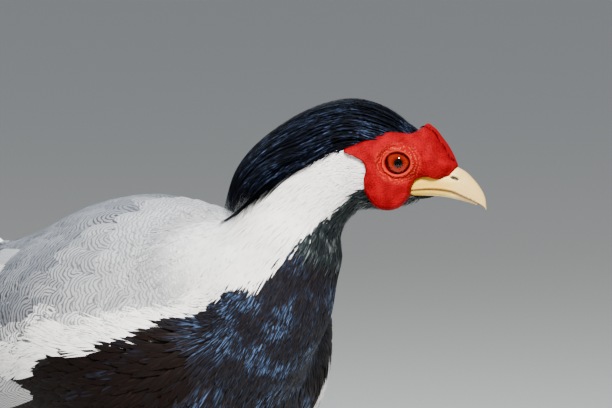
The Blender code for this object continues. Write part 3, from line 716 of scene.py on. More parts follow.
# %% Node helper
class Nodes:
    """Short words for building a node tree."""

    def __init__(self, name):
        self.material = bpy.data.materials.new(name)
        self.material.use_nodes = True
        self.tree = self.material.node_tree
        self.shader = self.tree.nodes["Principled BSDF"]

    def add(self, kind, **settings):
        node = self.tree.nodes.new("ShaderNode" + kind)
        for key, value in settings.items():
            setattr(node, key, value)
        return node

    def plug(self, value, socket):
        if hasattr(value, "is_output"):
            self.tree.links.new(value, socket)
        else:
            socket.default_value = value

    def math(self, operation, *values):
        node = self.add("Math", operation=operation)
        for value, socket in zip(values, node.inputs):
            self.plug(value, socket)
        return node.outputs[0]

    def times(self, first, second):
        return self.math("MULTIPLY", first, second)

    def plus(self, first, second):
        return self.math("ADD", first, second)

    def minus(self, first, second):
        return self.math("SUBTRACT", first, second)

    def value(self, name):
        return self.add("Attribute", attribute_name=name).outputs["Fac"]

    def smooth(self, value, low, high):
        node = self.add("MapRange", interpolation_type="SMOOTHSTEP")
        self.plug(value, node.inputs["Value"])
        node.inputs["From Min"].default_value = low
        node.inputs["From Max"].default_value = high
        return node.outputs[0]

    def mix(self, share, first, second):
        node = self.add("Mix", data_type="RGBA")
        self.plug(share, node.inputs[0])
        self.plug(first, node.inputs[6])
        self.plug(second, node.inputs[7])
        return node.outputs[2]

    def noise(self, scale, detail=2.0, vector=None, rough=0.5):
        node = self.add("TexNoise")
        node.inputs["Scale"].default_value = scale
        node.inputs["Detail"].default_value = detail
        node.inputs["Roughness"].default_value = rough
        if vector is not None:
            self.plug(vector, node.inputs["Vector"])
        return node.outputs["Fac"]

    def place(self):
        return self.add("TexCoord").outputs["Object"]

    def feather_uv(self):
        split = self.add("SeparateXYZ")
        self.plug(self.add("UVMap", uv_map="Feather").outputs[0], split.inputs[0])
        return self.minus(self.times(split.outputs[0], 2.0), 1.0), split.outputs[1]

    def bump(self, height, distance, strength=1.0):
        node = self.add("Bump")
        node.inputs["Distance"].default_value = distance
        node.inputs["Strength"].default_value = strength
        self.plug(height, node.inputs["Height"])
        self.plug(node.outputs[0], self.shader.inputs["Normal"])

    def set(self, **values):
        for key, value in values.items():
            self.plug(value, self.shader.inputs[key.replace("_", " ")])


print("short words for nodes:", sum(not word.startswith("_") for word in vars(Nodes)))

# %% [markdown]
# ## A vane's own measures
# Black and white plumage share their start. The map of a feather runs from 0 to 1 both ways, and the
# values half and lines turn it into distances counted in black lines, so that the lines are equally
# wide on small and large feathers. Fine slanted ridges stand for the barbs.

# %% Colours and vane measures
WHITE = (0.92, 0.92, 0.92, 1)
SHADE_WHITE = (0.66, 0.69, 0.745, 1)
# Painted shade: the blue-grey that shade darkens the white of mantle, wings and tail coverts to, standing in
# for sky-lit shade
PAINTED_SHADE_GREY = (0.125, 0.137, 0.160, 1)
BAR_BLACK = (0.016, 0.016, 0.022, 1)
BROWN_BLACK = (0.0046, 0.0028, 0.0026, 1)
BLUE_BLACK = (0.0018, 0.0018, 0.0026, 1)
# Painted sheen: lighter streak colours that stand in for light catching the black feathers
PAINTED_SHEEN_BROWN = (0.0105, 0.0062, 0.0050, 1)
PAINTED_SHEEN_GREY = (0.0140, 0.0160, 0.0165, 1)
BARBS_A_LINE = 34.0


def vane_places(n):
    """Distances over a vane from its map, counted in black lines: out from the shaft, and along it."""
    across, along = n.feather_uv()
    x = n.times(n.math("ABSOLUTE", across), n.value("half"))
    y = n.times(along, n.value("lines"))
    slanted = n.minus(y, n.times(x, 0.7))
    barbs = n.math("SINE", n.times(slanted, BARBS_A_LINE))
    shaft = n.smooth(n.math("ABSOLUTE", across), 0.05, 0.02)
    return x, y, barbs, shaft


print("colours: white", WHITE[:3], "and black", BROWN_BLACK[:3])

# %% [markdown]
# ## White plumage
# The mantle is white with fine wavy black lines, which run round a feather's tip like the rings of a tree.
# A picture could hold such lines, but they would blur close up. Here they are drawn by a formula: the
# distance from a middle point, made wavy by noise, and a black line wherever it passes a whole number.


# %% White plumage
def white_plumage():
    """White vanes with black lines, nested round the tip where vee is 0, slanted where it is 1."""
    n = Nodes("white plumage")
    x, y, barbs, shaft = vane_places(n)
    wide = n.noise(70, 1, n.place())
    fine = n.noise(520, 1, n.place())
    middle = n.minus(n.value("lines"), n.times(n.value("half"), 2.1))
    past = n.math("MAXIMUM", n.minus(y, middle), 0.0)
    sideways = n.times(n.times(x, x), 1.7)
    nested = n.math("SQRT", n.plus(sideways, n.times(past, past)))
    slanted = n.plus(y, n.times(x, 2.0))
    turned = n.times(n.minus(slanted, nested), n.value("vee"))
    phase = n.plus(nested, turned)
    ripple = n.noise(210, 1, n.place())
    stray = n.plus(n.times(wide, 1.0), n.times(ripple, 1.5))
    phase = n.plus(phase, n.plus(stray, n.times(fine, 0.35)))
    wave = n.math("ABSOLUTE", n.minus(n.math("FRACT", phase), 0.5))
    line = n.times(n.smooth(wave, 0.26, 0.12), n.value("bars"))
    barb_fleck = n.times(n.plus(barbs, 1.0), 0.06)
    fleck = n.plus(barb_fleck, n.times(n.value("tone"), 0.35))
    # painted shade: the white is darkened towards a blue-grey where shade is high
    white = n.mix(n.value("shade"), n.mix(fleck, WHITE, SHADE_WHITE), PAINTED_SHADE_GREY)
    n.set(Base_Color=n.mix(line, white, BAR_BLACK), Roughness=0.6, Specular_IOR_Level=0.3)
    n.bump(n.plus(barbs, n.times(shaft, 3.0)), 0.00005, 0.5)
    return n.material


PLUMAGE = white_plumage()
print(PLUMAGE.name, len(PLUMAGE.node_tree.nodes), "nodes")

# %% [markdown]
# ## Black plumage
# Breast and belly are brown-black. A blue gloss is painted into their colour as a highlight, in thin strokes
# along the feathers, stronger where a feather's gloss value is high, and lighter streaks are painted
# in as sheen. Thin film would colour by angle. Strokes of noise can be placed.


# %% Black plumage
def black_plumage(name, dull, gloss, painted_sheen, shine, level, patches=60):
    """Brown-black vanes, with a blue gloss painted in as a highlight where their tone is high and by fine
    streaks along them, and lighter streaks painted in as sheen.
    """
    n = Nodes(name)
    _, y, _, shaft = vane_places(n)
    across, _ = n.feather_uv()
    streak_place = n.add("CombineXYZ")
    from_shaft = n.times(across, n.value("half"))
    n.plug(n.times(from_shaft, 2.3), streak_place.inputs[0])
    n.plug(n.times(y, 0.15), streak_place.inputs[1])
    n.plug(n.times(n.value("tone"), 60.0), streak_place.inputs[2])
    streak = n.noise(1.0, 2, streak_place.outputs[0])
    patch = n.smooth(n.noise(patches, 2, n.place()), 0.44, 0.60)
    patchy = n.plus(n.times(patch, 0.86), 0.14)
    thin = n.times(n.smooth(streak, 0.48, 0.66), patchy)
    share = n.times(thin, n.value("gloss"))
    # painted sheen: lighter streaks mixed into the brown-black where the streak noise is low
    lit = n.mix(n.smooth(streak, 0.46, 0.24), dull, painted_sheen)
    rough = n.minus(0.58, n.times(share, 0.24))
    # painted highlight: the gloss colour is mixed into the base colour where share is high
    n.set(Base_Color=n.mix(share, lit, gloss), Roughness=rough)
    n.set(Specular_IOR_Level=level, Specular_Tint=shine)
    n.bump(n.plus(n.times(streak, 2.0), n.times(shaft, 1.5)), 0.00008, 0.8)
    return n.material


BLUE = (0.60, 0.74, 1.0, 1)
TEAL = (0.60, 0.90, 1.0, 1)
TAN = (1.0, 0.90, 0.84, 1)
# Painted highlight colours that the black plumages mix into their base colour as gloss
BREAST_PAINTED_GLOSS = (0.064, 0.116, 0.236, 1)
# painted sheen of the breast's lighter streaks
BREAST_PAINTED_SHEEN = (0.027, 0.0205, 0.0215, 1)
FLANK_PAINTED_GLOSS = (0.040, 0.070, 0.140, 1)
CREST_PAINTED_GLOSS = (0.050, 0.078, 0.172, 1)
THROAT_PAINTED_GLOSS = (0.125, 0.150, 0.155, 1)
BREAST = black_plumage("black plumage", BROWN_BLACK, BREAST_PAINTED_GLOSS, BREAST_PAINTED_SHEEN, BLUE, 0.12)
FLANK = black_plumage("brown-black plumage", BROWN_BLACK, FLANK_PAINTED_GLOSS, PAINTED_SHEEN_BROWN, TAN, 0.04)
CREST = black_plumage("crest plumage", BLUE_BLACK, CREST_PAINTED_GLOSS, BLUE_BLACK, BLUE, 0.05)
THROAT = black_plumage("throat plumage", BLUE_BLACK, THROAT_PAINTED_GLOSS, PAINTED_SHEEN_GREY, TEAL, 0.20, 170)
print(BREAST.name, len(BREAST.node_tree.nodes), "nodes")

# %% [markdown]
# ## Wearing a material
# Each piece gets its material, rides on the bird's one body, and has the solids it stands for hidden. The
# skin
# is the first: mottled white above, black below, by the ink on its points.


# %% Wear, and the skin's material
def wear(piece, material, slot, *nodes):
    """Material, CAD body, slot (not used) and the CAD nodes that a piece stands for."""
    piece.data.materials.clear()
    piece.data.materials.append(material)
    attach(piece, "root")
    if nodes:
        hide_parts(*nodes)
    return piece


def skin_material():
    n = Nodes("skin")
    mottle = n.noise(300, 3, n.place())
    pale = n.mix(mottle, (0.80, 0.80, 0.81, 1), (0.62, 0.63, 0.66, 1))
    n.set(Base_Color=n.mix(n.value("ink"), pale, BROWN_BLACK), Roughness=0.8)
    n.bump(n.noise(1500, 2, n.place()), 0.0003)
    return n.material


wear(skin, skin_material(), "white_feather", *FLESH)
print("materials:", len(bpy.data.materials))

# %% [markdown]
# ## The outline of the bare face
# Feathers stop where the red skin begins. Its outline is a closed curve in the head's side view, through
# points taken where forehead lobe, lores, wattle and the patch behind the eye end. The skull below it is
# an ellipse at each station, which the face will lie on.

# %% Face outline and skull
# Forward and up in the head's frame: the outline of the bare red skin
FACE_RIM = [
    (-23.6, 7.2), (-17.5, 10.4), (-11.5, 12.8), (-6, 15), (-1.2, 16), (4, 15.4), (8, 15.2), (11.5, 17.4),
    (14.4, 19.4), (17, 18), (19.6, 15.6), (25, 8), (28.9, 0.2), (28.4, -3.4), (26.4, -6.2), (22.6, -7.3),
    (19, -6.6), (16.5, -5.8), (12.8, -5.8), (9.8, -7.2), (8.2, -10.5), (7.2, -14.5), (4.5, -18.5),
    (0.5, -21), (-4, -21.8), (-8.5, -20.4), (-12, -16.8), (-13.8, -11.5), (-13.8, -6.5), (-13, -1.4),
    (-14.6, 2.4), (-18.6, 4.8),
]
# Forward, half width, top and bottom of the skull
SKULL = np.array([
    (-37, 12, 16, -14), (-26, 16.5, 23, -20), (-12, 17, 25.5, -22.5), (0, 15.5, 23.5, -21.5),
    (10, 9.8, 17.8, -18.5), (18, 6.4, 11, -16.6), (24, 4.8, 3.8, -15.8), (27.5, 3.4, -3, -14),
], float)


def even_loop(points, count):
    """A smooth closed curve through points, cut into even steps."""
    points = np.array(points, float)
    t = np.linspace(0, len(points), 4001)[:-1]
    i = t.astype(int)
    f = (t - i)[:, None]
    p0, p1, p2, p3 = (points[(i + k) % len(points)] for k in (-1, 0, 1, 2))
    curve = p1 + 0.5 * f * (p2 - p0 + f * (2 * p0 - 5 * p1 + 4 * p2 - p3 + f * (3 * (p1 - p2) + p3 - p0)))
    closed = np.vstack([curve, curve[:1]])
    lengths = np.concatenate([[0], np.cumsum(np.linalg.norm(np.diff(closed, axis=0), axis=1))])
    at = np.linspace(0, lengths[-1], count + 1)[:-1]
    return np.stack([np.interp(at, lengths, closed[:, k]) for k in range(2)], -1)


FACE_EDGE = even_loop(FACE_RIM, 200)
print("bare face:", np.ptp(FACE_EDGE, axis=0).round(1), "mm long and high")

# %% [markdown]
# ## Where feathers may be sown
# A root that lies on bare skin, eye or bill is left out. Whether a place is inside the outline is found by
# counting how often a ray from it crosses the curve. Sowing takes many tries and keeps what fits.


# %% Sow
def in_face(points, margin=0.8):
    """True where a point is over the bare skin, the eye or the bill, where nothing is sown."""
    h = to_head(points)
    s, v = h[:, :1], h[:, 2:]
    a, b = FACE_EDGE, np.roll(FACE_EDGE, -1, axis=0)
    crossed = ((a[:, 1] > v) != (b[:, 1] > v)) & (
        s < (b[:, 0] - a[:, 0]) * (v - a[:, 1]) / (b[:, 1] - a[:, 1] + 1e-9) + a[:, 0]
    )
    inside = crossed.sum(1) % 2 == 1
    away = np.min(np.hypot(s - a[:, 0], v - a[:, 1]), axis=1)
    wattle_low = (h[:, 2] < -13) & (np.abs(h[:, 1]) < 9)
    bill = (h[:, 0] > 7) & (h[:, 2] > -15.4) & (h[:, 2] < 2)
    covered = (inside & (away > margin) & (np.abs(h[:, 1]) > 1.1) & ~wattle_low) | bill
    return covered & (h[:, 0] > -30)


def sow(count, keep, spacing_of):
    """Roots of a tract, with the surface's normals, q and theta there."""
    points, ways = surface_samples(count, keep)
    q, theta, _ = unwrap(points)
    chosen = spread(points, spacing_of(q, theta, points))
    return points[chosen], ways[chosen], q[chosen], theta[chosen]


print("the eye is in the bare face:", bool(in_face(from_head(EYE[None]))[0]))

# %% [markdown]
# ## The body's contour feathers
# Mantle, back, breast and belly wear rounded or pointed vanes. They stand further apart from the neck
# backwards, closer again on the thighs, and none grow where the wing lies over the rump.


# %% How dense and how glossy
def thigh_share(points):
    body = to_body(points)
    return ramp(body[:, 2], 168, 146)


def contour_spacing(q, theta, points):
    white = ramp(border_gap(q, theta), -2, 2) * ramp(border_gap(q, theta), 6, 26)
    wide = 2.6 + 1.0 * ramp(q, 115, 220) + 4.3 * ramp(q, 125, 190) * white
    return wide * (1 - 0.35 * thigh_share(points)) * (1 - 0.2 * ramp(q, 400, 440))


def contour_keep(points):
    q, _, _ = unwrap(points)
    body = to_body(points)
    under_wing = ramp(body[:, 0], -66, -78) * ramp(np.abs(body[:, 1]), 17, 24) * ramp(body[:, 2], 186, 196)
    return ramp(q, 104, 128) * (1 - under_wing)


def glossy(q, theta):
    """How strong the painted gloss highlight of the black plumage is: most on the front of the breast,
    hardly on flank and belly.
    """
    front = ramp(np.abs(np.degrees(theta)), 120, 146)
    return ramp(q, 88, 112) * (0.05 + 0.95 * np.maximum(ramp(q, 158, 138), 1.15 * front * ramp(q, 230, 165)))


print("gloss on breast and flank:", glossy(np.array([130.0, 260.0]), np.array([2.6, 1.9])).round(2))

# %% [markdown]
# ## Measures of each contour feather
# The mantle's feathers are broad, the breast's narrow. Along the line between white and black a border of
# slim white ones covers the black, which keeps the line clean. The values that the materials read, such
# as bars, painted shade and painted gloss, are worked out here and stored on the feathers' points.


# %% Widths, values and tracts
def line_pitch(q):
    """Millimetres from one black line to the next."""
    return 2.3 + 1.4 * ramp(q, 150, 290)


def contour_widths(q, gap, lengths, white, edge):
    """Half widths, slimmer near the line between white and black."""
    slim = ramp(gap, 26, 8)
    wide = lengths * np.where(white, 0.29 - 0.16 * slim, 0.145 + 0.03 * ramp(q, 280, 400))
    return wide * np.where(edge, 0.62, 1 - 0.35 * ramp(np.abs(gap), 14, 4))


def contour_values(q, theta, gap, lengths, wide):
    """What the materials read: black lines, maps in lines, how each feather is toned, its painted shade and
    its painted gloss.
    """
    pitch = line_pitch(q)
    rump = ramp(q, 270, 320)
    # painted shade that grows from the neck's base back over the mantle
    backwards = ramp(q, 105, 150) * (0.74 + 0.26 * ramp(q, 150, 215))
    return {
        "bars": bars(q) * np.maximum(ramp(gap, 1, 8), rump) * rng.uniform(0.8, 1.0, len(q)),
        "lines": lengths / pitch,
        "half": wide / pitch,
        "vee": 0 * q,
        "tone": rng.random(len(q)),
        # painted shade on the white of the mantle and rump
        "shade": np.maximum(ramp(gap, 3, 22), 0.7 * rump) * backwards * rng.uniform(0.88, 1.05, len(q)),
        # how strong each feather's painted gloss highlight is
        "gloss": glossy(q, theta) * (0.35 + 0.65 * ramp(-gap, 3, 20)) + rng.uniform(-0.12, 0.12, len(q)),
    }


def contour_tracts(white, edge, left, painted_gloss_pick):
    """Name, feathers, outline, columns, raggedness, material and slot of each piece."""
    broad = (vane_profile, 9, 1.3, PLUMAGE, "white_feather")
    slim = (lance_profile, 7, 6.0, PLUMAGE, "white_feather")
    glossed = (lance_profile, 7, 3.6, BREAST, "black_feather")
    dull = (lance_profile, 7, 3.6, FLANK, "black_feather")
    return (
        ("mantle_left", white & left & ~edge, *broad),
        ("mantle_right", white & ~left & ~edge, *broad),
        ("border", edge, *slim),
        ("breast_left", ~white & left & painted_gloss_pick, *glossed),
        ("breast_right", ~white & ~left & painted_gloss_pick, *glossed),
        ("flank_left", ~white & left & ~painted_gloss_pick, *dull),
        ("flank_right", ~white & ~left & ~painted_gloss_pick, *dull),
    )


print("black lines are", line_pitch(np.array([150, 290])), "mm apart on mantle and rump")

# %% [markdown]
# ## Planting the contour feathers
# All roots are sown at once, and each feather grows from its root along the lie of the coat. White ones
# stand a little prouder than black ones where the two meet. Then each tract becomes one mesh.

# %% Contour feathers
CONTOUR_TRIES = 60000
CONTOUR_ROWS = 9


def plant_contour():
    """Sow, grow and dress mantle, border, breast and flanks."""
    roots, ways, q, theta = sow(CONTOUR_TRIES, contour_keep, contour_spacing)
    gap = border_gap(q, theta) + rng.normal(0, 0.6, len(q))
    white = (gap > 0) | (q > 440)
    white = white & ~((np.abs(np.degrees(theta)) > 95) & (q > 380))
    grow = ramp(q, 110, 215)
    lengths = (11 + (17 + 12 * white) * grow) * rng.uniform(0.88, 1.12, len(q))
    lengths = lengths * (1 - 0.45 * thigh_share(roots))
    directions = lie(roots, ways)
    near = ramp(np.abs(gap), 10, 3)
    lift = np.where(white, 0.5 + 0.3 * near, 0.4 - 0.3 * near)
    depth = np.where(white, 1.7, 1.9)
    line, outward = middle_lines(roots, ways, directions, lengths, depth, lift, CONTOUR_ROWS)
    edge = white & (gap < 6) & (q > 118) & (q < 330)
    wide = contour_widths(q, gap, lengths, white, edge)
    values = contour_values(q, theta, gap, lengths, wide)
    # feathers with enough painted gloss wear the breast's material
    painted_gloss_pick = glossy(q, theta) > rng.uniform(0.15, 0.5, len(q))
    tracts = contour_tracts(white, edge, theta > 0, painted_gloss_pick)
    for label, chosen, profile, columns, ragged, material, slot in tracts:
        picked = {k: v[chosen] for k, v in values.items()}
        piece = feather_grids(
            "feathers_" + label, line[chosen], outward[chosen], wide[chosen], profile, columns, picked,
            roots[chosen], camber=0.16 if profile is vane_profile else 0.07, ragged=ragged, twist=0.03,
        )
        wear(piece, material, slot)


plant_contour()

# %% [markdown]
# ## Hair-like feathers of neck, cheek and throat
# The neck and ears look combed: narrow strands, longest low on the neck, shortest on the face. They also
# make the silky white edge that runs down the breast. The number of tries follows the spacing, so that
# the dense places get enough of them.


# %% Where the strands grow
def neck_keep(points):
    q, theta, _ = unwrap(points)
    gap = border_gap(q, theta)
    edge = ramp(gap, -1, 2) * ramp(gap, 10, 4) * ramp(q, 350, 280) * (q > 110)
    neck = np.where(gap > 10, ramp(q, 138, 112), ramp(q, 158, 124))
    sown = np.maximum(neck, edge) * (1 - 0.75 * under_crest(q, theta))
    return sown * np.where(in_face(points, 0.4), 0, 1) / neck_spacing(q, theta) ** 2


def neck_spacing(q, theta, *_):
    dark = ramp(border_gap(q, theta), 1, -1) * ramp(q, 100, 80)
    return 0.54 + 0.44 * ramp(q, 45, 100) + 0.35 * ramp(q, 130, 180) + 0.35 * dark


print("strands on the cheek stand", neck_spacing(np.array([50.0]), np.array([0.5])).round(2), "mm apart")

# %% [markdown]
# ## Measures of each strand
# White strands are hairs. The throat's are small scales with a painted teal gloss, and the face's dark ones
# bristle.
# The nape's lie under the crest and take its colour.


# %% Lengths, values and tracts of the neck
SHORTEST_STRAND = 3.6
WHITE_LONGER, NECK_LONGER, BREAST_LONGER = 1.6, 14, 9


def neck_lengths(q, gap, dark):
    """Longest low on the neck and on the breast, shorter beside the line between white and black."""
    size = ramp(q, 42, 120)
    far = ramp(q, 130, 190)
    lengths = SHORTEST_STRAND + WHITE_LONGER * ~dark + NECK_LONGER * size + BREAST_LONGER * far
    lengths = lengths * rng.uniform(0.75, 1.25, len(q))
    lengths = lengths * np.where(dark, 0.8 + 0.6 * ramp(q, 90, 66), 1)
    beside_line = ramp(np.abs(gap), 24, 5) * ramp(q, 100, 114) * ramp(q, 150, 136)
    return lengths * (1 - 0.45 * beside_line)


def neck_values(q, theta, gap):
    """What the materials read: strands carry no black lines, so their maps need no true measures."""
    return {
        "bars": 0 * q,
        "lines": 0 * q + 4,
        "half": 0 * q + 1,
        "vee": 0 * q,
        "tone": rng.random(len(q)) ** 2 * 0.4,
        # painted shade on the lowest neck strands, where they reach the mantle
        "shade": 0.9 * ramp(gap, 14, 34) * ramp(q, 104, 145),
        # how strong each strand's painted gloss highlight is
        "gloss": np.maximum(ramp(q, 108, 84), glossy(q, theta)) + rng.uniform(-0.15, 0.15, len(q)),
    }


def neck_tracts(q, theta, dark, hidden):
    """Name, feathers, half widths, slot, material and outline of each piece."""
    size = ramp(q, 42, 120)
    slim = 0.27 + 0.33 * size + 0.26 * ramp(q, 130, 190)
    throat = dark & ~hidden & (q < 92)
    front = dark & ~hidden & (q >= 92)
    return (
        ("neck", ~dark & (theta > 0), slim, "white_feather", PLUMAGE, strand_profile),
        ("cheek", ~dark & (theta <= 0), slim, "white_feather", PLUMAGE, strand_profile),
        ("nape", dark & hidden, 0.4 + 0.5 * size, "black_feather", CREST, lance_profile),
        ("throat", throat, 0.48 + 0.5 * size, "black_feather", THROAT, lance_profile),
        ("breast_front", front, 0.3 + 0.75 * size, "black_feather", BREAST, lance_profile),
    )


print("strands grow from", SHORTEST_STRAND, "to", SHORTEST_STRAND + WHITE_LONGER + NECK_LONGER, "mm")

# %% [markdown]
# ## Planting neck, cheek and throat
# These are the most feathers of all, so each has only three columns. Near the line to the black breast the
# white ones are lifted over the black ones.

# %% Neck, cheek and throat
NECK_TRIES = 120000
NECK_ROWS = 6


def plant_neck():
    """Sow, grow and dress the strands of neck, cheek, nape, throat and the front of the breast."""
    roots, ways, q, theta = sow(NECK_TRIES, neck_keep, neck_spacing)
    gap = border_gap(q, theta) + rng.normal(0, 0.7, len(q))
    hidden = (crown(to_head(roots)) > 0.5) | (under_crest(q, theta) > 0.5)
    dark = (gap < 0) | hidden
    lengths = neck_lengths(q, gap, dark)
    on_face = ramp(q, 84, 55)
    directions = lie(roots, ways, 5 + (4 + 6 * dark) * on_face)
    size = ramp(q, 42, 120)
    depth = np.where(dark, 0.9, 0.6) + 0.9 * size
    bristle = rng.uniform(0.2, 1.6, len(q)) * dark * on_face * (np.abs(theta) > 1.5)
    near = ramp(np.abs(gap), 10, 3) * ramp(q, 90, 105)
    lift = np.where(dark, 0.30 - 0.25 * near, 0.16 + 0.25 * near) + 0.5 * size + bristle
    line, outward = middle_lines(roots, ways, directions, lengths, depth, lift, NECK_ROWS)
    values = neck_values(q, theta, gap)
    for label, chosen, width, slot, material, profile in neck_tracts(q, theta, dark, hidden):
        picked = {k: v[chosen] for k, v in values.items()}
        piece = feather_grids(
            "feathers_" + label, line[chosen], outward[chosen], width[chosen], profile, 3, picked,
            roots[chosen], camber=0.08 if material is PLUMAGE else 0.2, ragged=0.6, twist=0.06,
        )
        wear(piece, material, slot)


plant_neck()

# %% [markdown]
# ## The crest's hull
# Long silky strands start on the forehead and crown and fall back over the nape. The hull that they fill is
# given by two curves in side view, one through its middle and one along its ridge. Seen from the front it
# is narrower than high.

# %% Crest hull
CREST_AXIS = np.array([(10, 1), (-8, 2), (-22, 3), (-35, -3), (-46, -12), (-55, -25), (-62, -39)], float)
CREST_PROFILE = np.array(
    [(12, 18.5), (-4, 28), (-23, 31.5), (-44, 26), (-65, 12.5), (-79, -4), (-86, -27)], float
)
CREST_SQUEEZE = 0.72


def crest_place(share, angle, lift):
    """Row-frame points of the crest's hull: share from forehead 0 to tip 1, angle from the ridge."""
    t = np.clip(share, 0, 1) * (len(CREST_AXIS) - 1)
    knots = np.arange(len(CREST_AXIS))
    table = [np.column_stack([knots, curve]) for curve in (CREST_AXIS, CREST_PROFILE)]
    axis = np.stack([smooth_column(t, table[0], c) for c in (1, 2)], -1)
    rim = np.stack([smooth_column(t, table[1], c) for c in (1, 2)], -1)
    reach = np.linalg.norm(rim - axis, axis=-1, keepdims=True) + lift[..., None]
    out = unit(rim - axis)
    high = axis + out * reach * np.cos(angle)[..., None]
    left = reach[..., 0] * CREST_SQUEEZE * np.sin(angle)
    return from_head(np.stack([high[..., 0], left, high[..., 1]], -1))


print("crest's tip:", crest_place(np.ones(1), np.zeros(1), np.zeros(1)).round(1))

# %% [markdown]
# ## Planting the crest
# Most strands lie in the outer layers, some deep inside, and a third start low and reach the tip. Each
# keeps its angle from the ridge, gathers in towards the tip and wavers a little.

# %% Crest
CREST_STRANDS = 4300
CREST_ROWS = 12


def plant_crest():
    count = CREST_STRANDS
    start = rng.random(count) ** 1.7 * 0.5
    reach = rng.uniform(0.3, 0.62, count)
    low = rng.random(count) < 0.36
    start = np.where(low, rng.uniform(0.34, 0.62, count), start)
    end = np.clip(start + reach, 0, rng.uniform(0.86, 1.0, count))
    end = np.where(low, rng.uniform(0.86, 1.0, count), end)
    angle = rng.normal(0, 0.52, count).clip(-1.12, 1.12)
    inner = rng.random(count) < 0.3
    angle = np.where(inner, rng.uniform(-1.3, 1.3, count), angle)
    hollow = np.where(inner, rng.uniform(0.15, 0.75, count), 0)
    layer = rng.random(count)
    t = feather_steps(CREST_ROWS)
    share = start[:, None] + (end - start)[:, None] * t
    gather = 1 - 0.5 * np.clip(share - 0.55, 0, 1) / 0.45
    waver = 0.05 * np.sin(t * 5 + rng.random((count, 1)) * 6.3) * t
    turn = angle[:, None] * gather + waver
    sunk = 4.5 * (1 - t) ** 3 + 0.3
    lift = -5.0 * layer[:, None] * np.sin(np.clip(t * 1.3, 0, 1) * math.pi / 2) - sunk
    depth = hollow[:, None] * 26 * np.sin(np.clip(t * 1.6, 0, 1) * math.pi / 2)
    line = crest_place(share, turn, lift - depth)
    outward = unit(crest_place(share, turn, lift - depth + 1) - line)
    values = strand_values(count, 110.0, 0.5, 0.9)
    width = rng.uniform(0.2, 0.5, count)
    piece = feather_grids(
        "crest_plumes", line, outward, width, strand_profile, 3, values,
        line[:, 0], camber=0.3, ragged=0.8, twist=0.3,
    )
    return wear(piece, CREST, "black_feather", "crest")


plant_crest()

# %% [markdown]
# ## Red face skin
# The cock's bare face is one velvety sheet on each side, from a point behind the eye to a lobe on the
# forehead and a round wattle under the eye. It is a height field: each point's distance out from the head
# is the highest of the skull and four lobes. Sculpting would give such a form too, but not on every run.

# %% Face tables and helpers
# Forward, out, up, then the radii the same way: wattle, forehead lobe, its horn, its front
LOBES = [
    (-3.2, 12.4, -9.4, 11.2, 5.2, 12.6),
    (16.5, 7.0, 3.0, 11.0, 5.4, 10.4),
    (13.8, 3.6, 13.5, 5.2, 3.4, 6.4),
    (25.0, 3.6, -2.0, 4.6, 4.0, 5.2),
]
EYE_OPENING = (6.0, 5.05)
EYE_SHIFT = -0.6
LID_OUT = 15.4


def skull_side(s, v):
    """How far out the skull's side is."""
    half_width, top, bottom = (smooth_column(s, SKULL, k) for k in (1, 2, 3))
    middle, half = (top + bottom) / 2, (top - bottom) / 2
    return half_width * np.sqrt(np.clip(1 - ((v - middle) / half) ** 2, 0, 1))


def smooth_max(a, b, blend):
    h = np.clip(0.5 + 0.5 * (a - b) / blend, 0, 1)
    return b + (a - b) * h + blend * h * (1 - h)


def cells(places, size):
    """Distance from the nearest of a jittered grid's points, in cells, for places on a plane."""
    base = np.floor(places / size)
    best = np.full(len(places), 9.0)
    for i in (-1, 0, 1):
        for j in (-1, 0, 1):
            cell = base + (i, j)
            hashed = np.sin(cell @ np.array([[127.1, 269.5], [311.7, 183.3]])) * 43758.5453
            centre = (cell + 0.04 + 0.92 * (hashed - np.floor(hashed))) * size
            best = np.minimum(best, np.linalg.norm(places - centre, axis=1) / size)
    return best


def grid_normals(grid):
    """Normals of a (rows, columns, 3) grid that is closed round its columns."""
    down = np.gradient(grid, axis=0)
    round_ = np.roll(grid, -1, axis=1) - np.roll(grid, 1, axis=1)
    return unit(np.cross(down, round_))


def short_of_ridge(rim):
    """The rim of the bird's right side, which ends a little below the left side's forehead lobe."""
    inward = unit(np.array([10.0, -2.0]) - rim)
    amount = 1.9 * ramp(rim[:, 0], 11.5, 15) * ramp(rim[:, 1], 0, 4)
    return rim + inward * amount[:, None]


print("skull's half width above the eye:", skull_side(np.array([3.0]), np.array([8.0])).round(1))

# %% [markdown]
# ## Rings from the lids to the rim
# The sheet is made of rings. The first follows the opening of the lids, the last the outline of the face,
# and those between blend from one to the other, closer together at the rim, where the skin turns under.

# %% Face plan and heights
FACE_AROUND, FACE_ROWS = 420, 130
LID_FOLD, LID_GROOVE = 1.5, 0.5


def face_plan(side):
    """Rings in side view, the rim, the opening, and the angle of each column round the eye."""
    rim = even_loop(FACE_RIM, FACE_AROUND)
    if side < 0:
        rim = short_of_ridge(rim)
    centre = np.array([EYE[0] + EYE_SHIFT, EYE[2]])
    angle = np.arctan2(rim[:, 1] - centre[1], rim[:, 0] - centre[0])
    inner = centre + np.stack([EYE_OPENING[0] * np.cos(angle), EYE_OPENING[1] * np.sin(angle)], -1)
    t = np.linspace(0, 1, FACE_ROWS)
    t = 0.5 * t + 0.5 * (1 - (1 - t) ** 1.7)
    return inner[None] + (rim - inner)[None] * t[:, None, None], rim, inner, angle


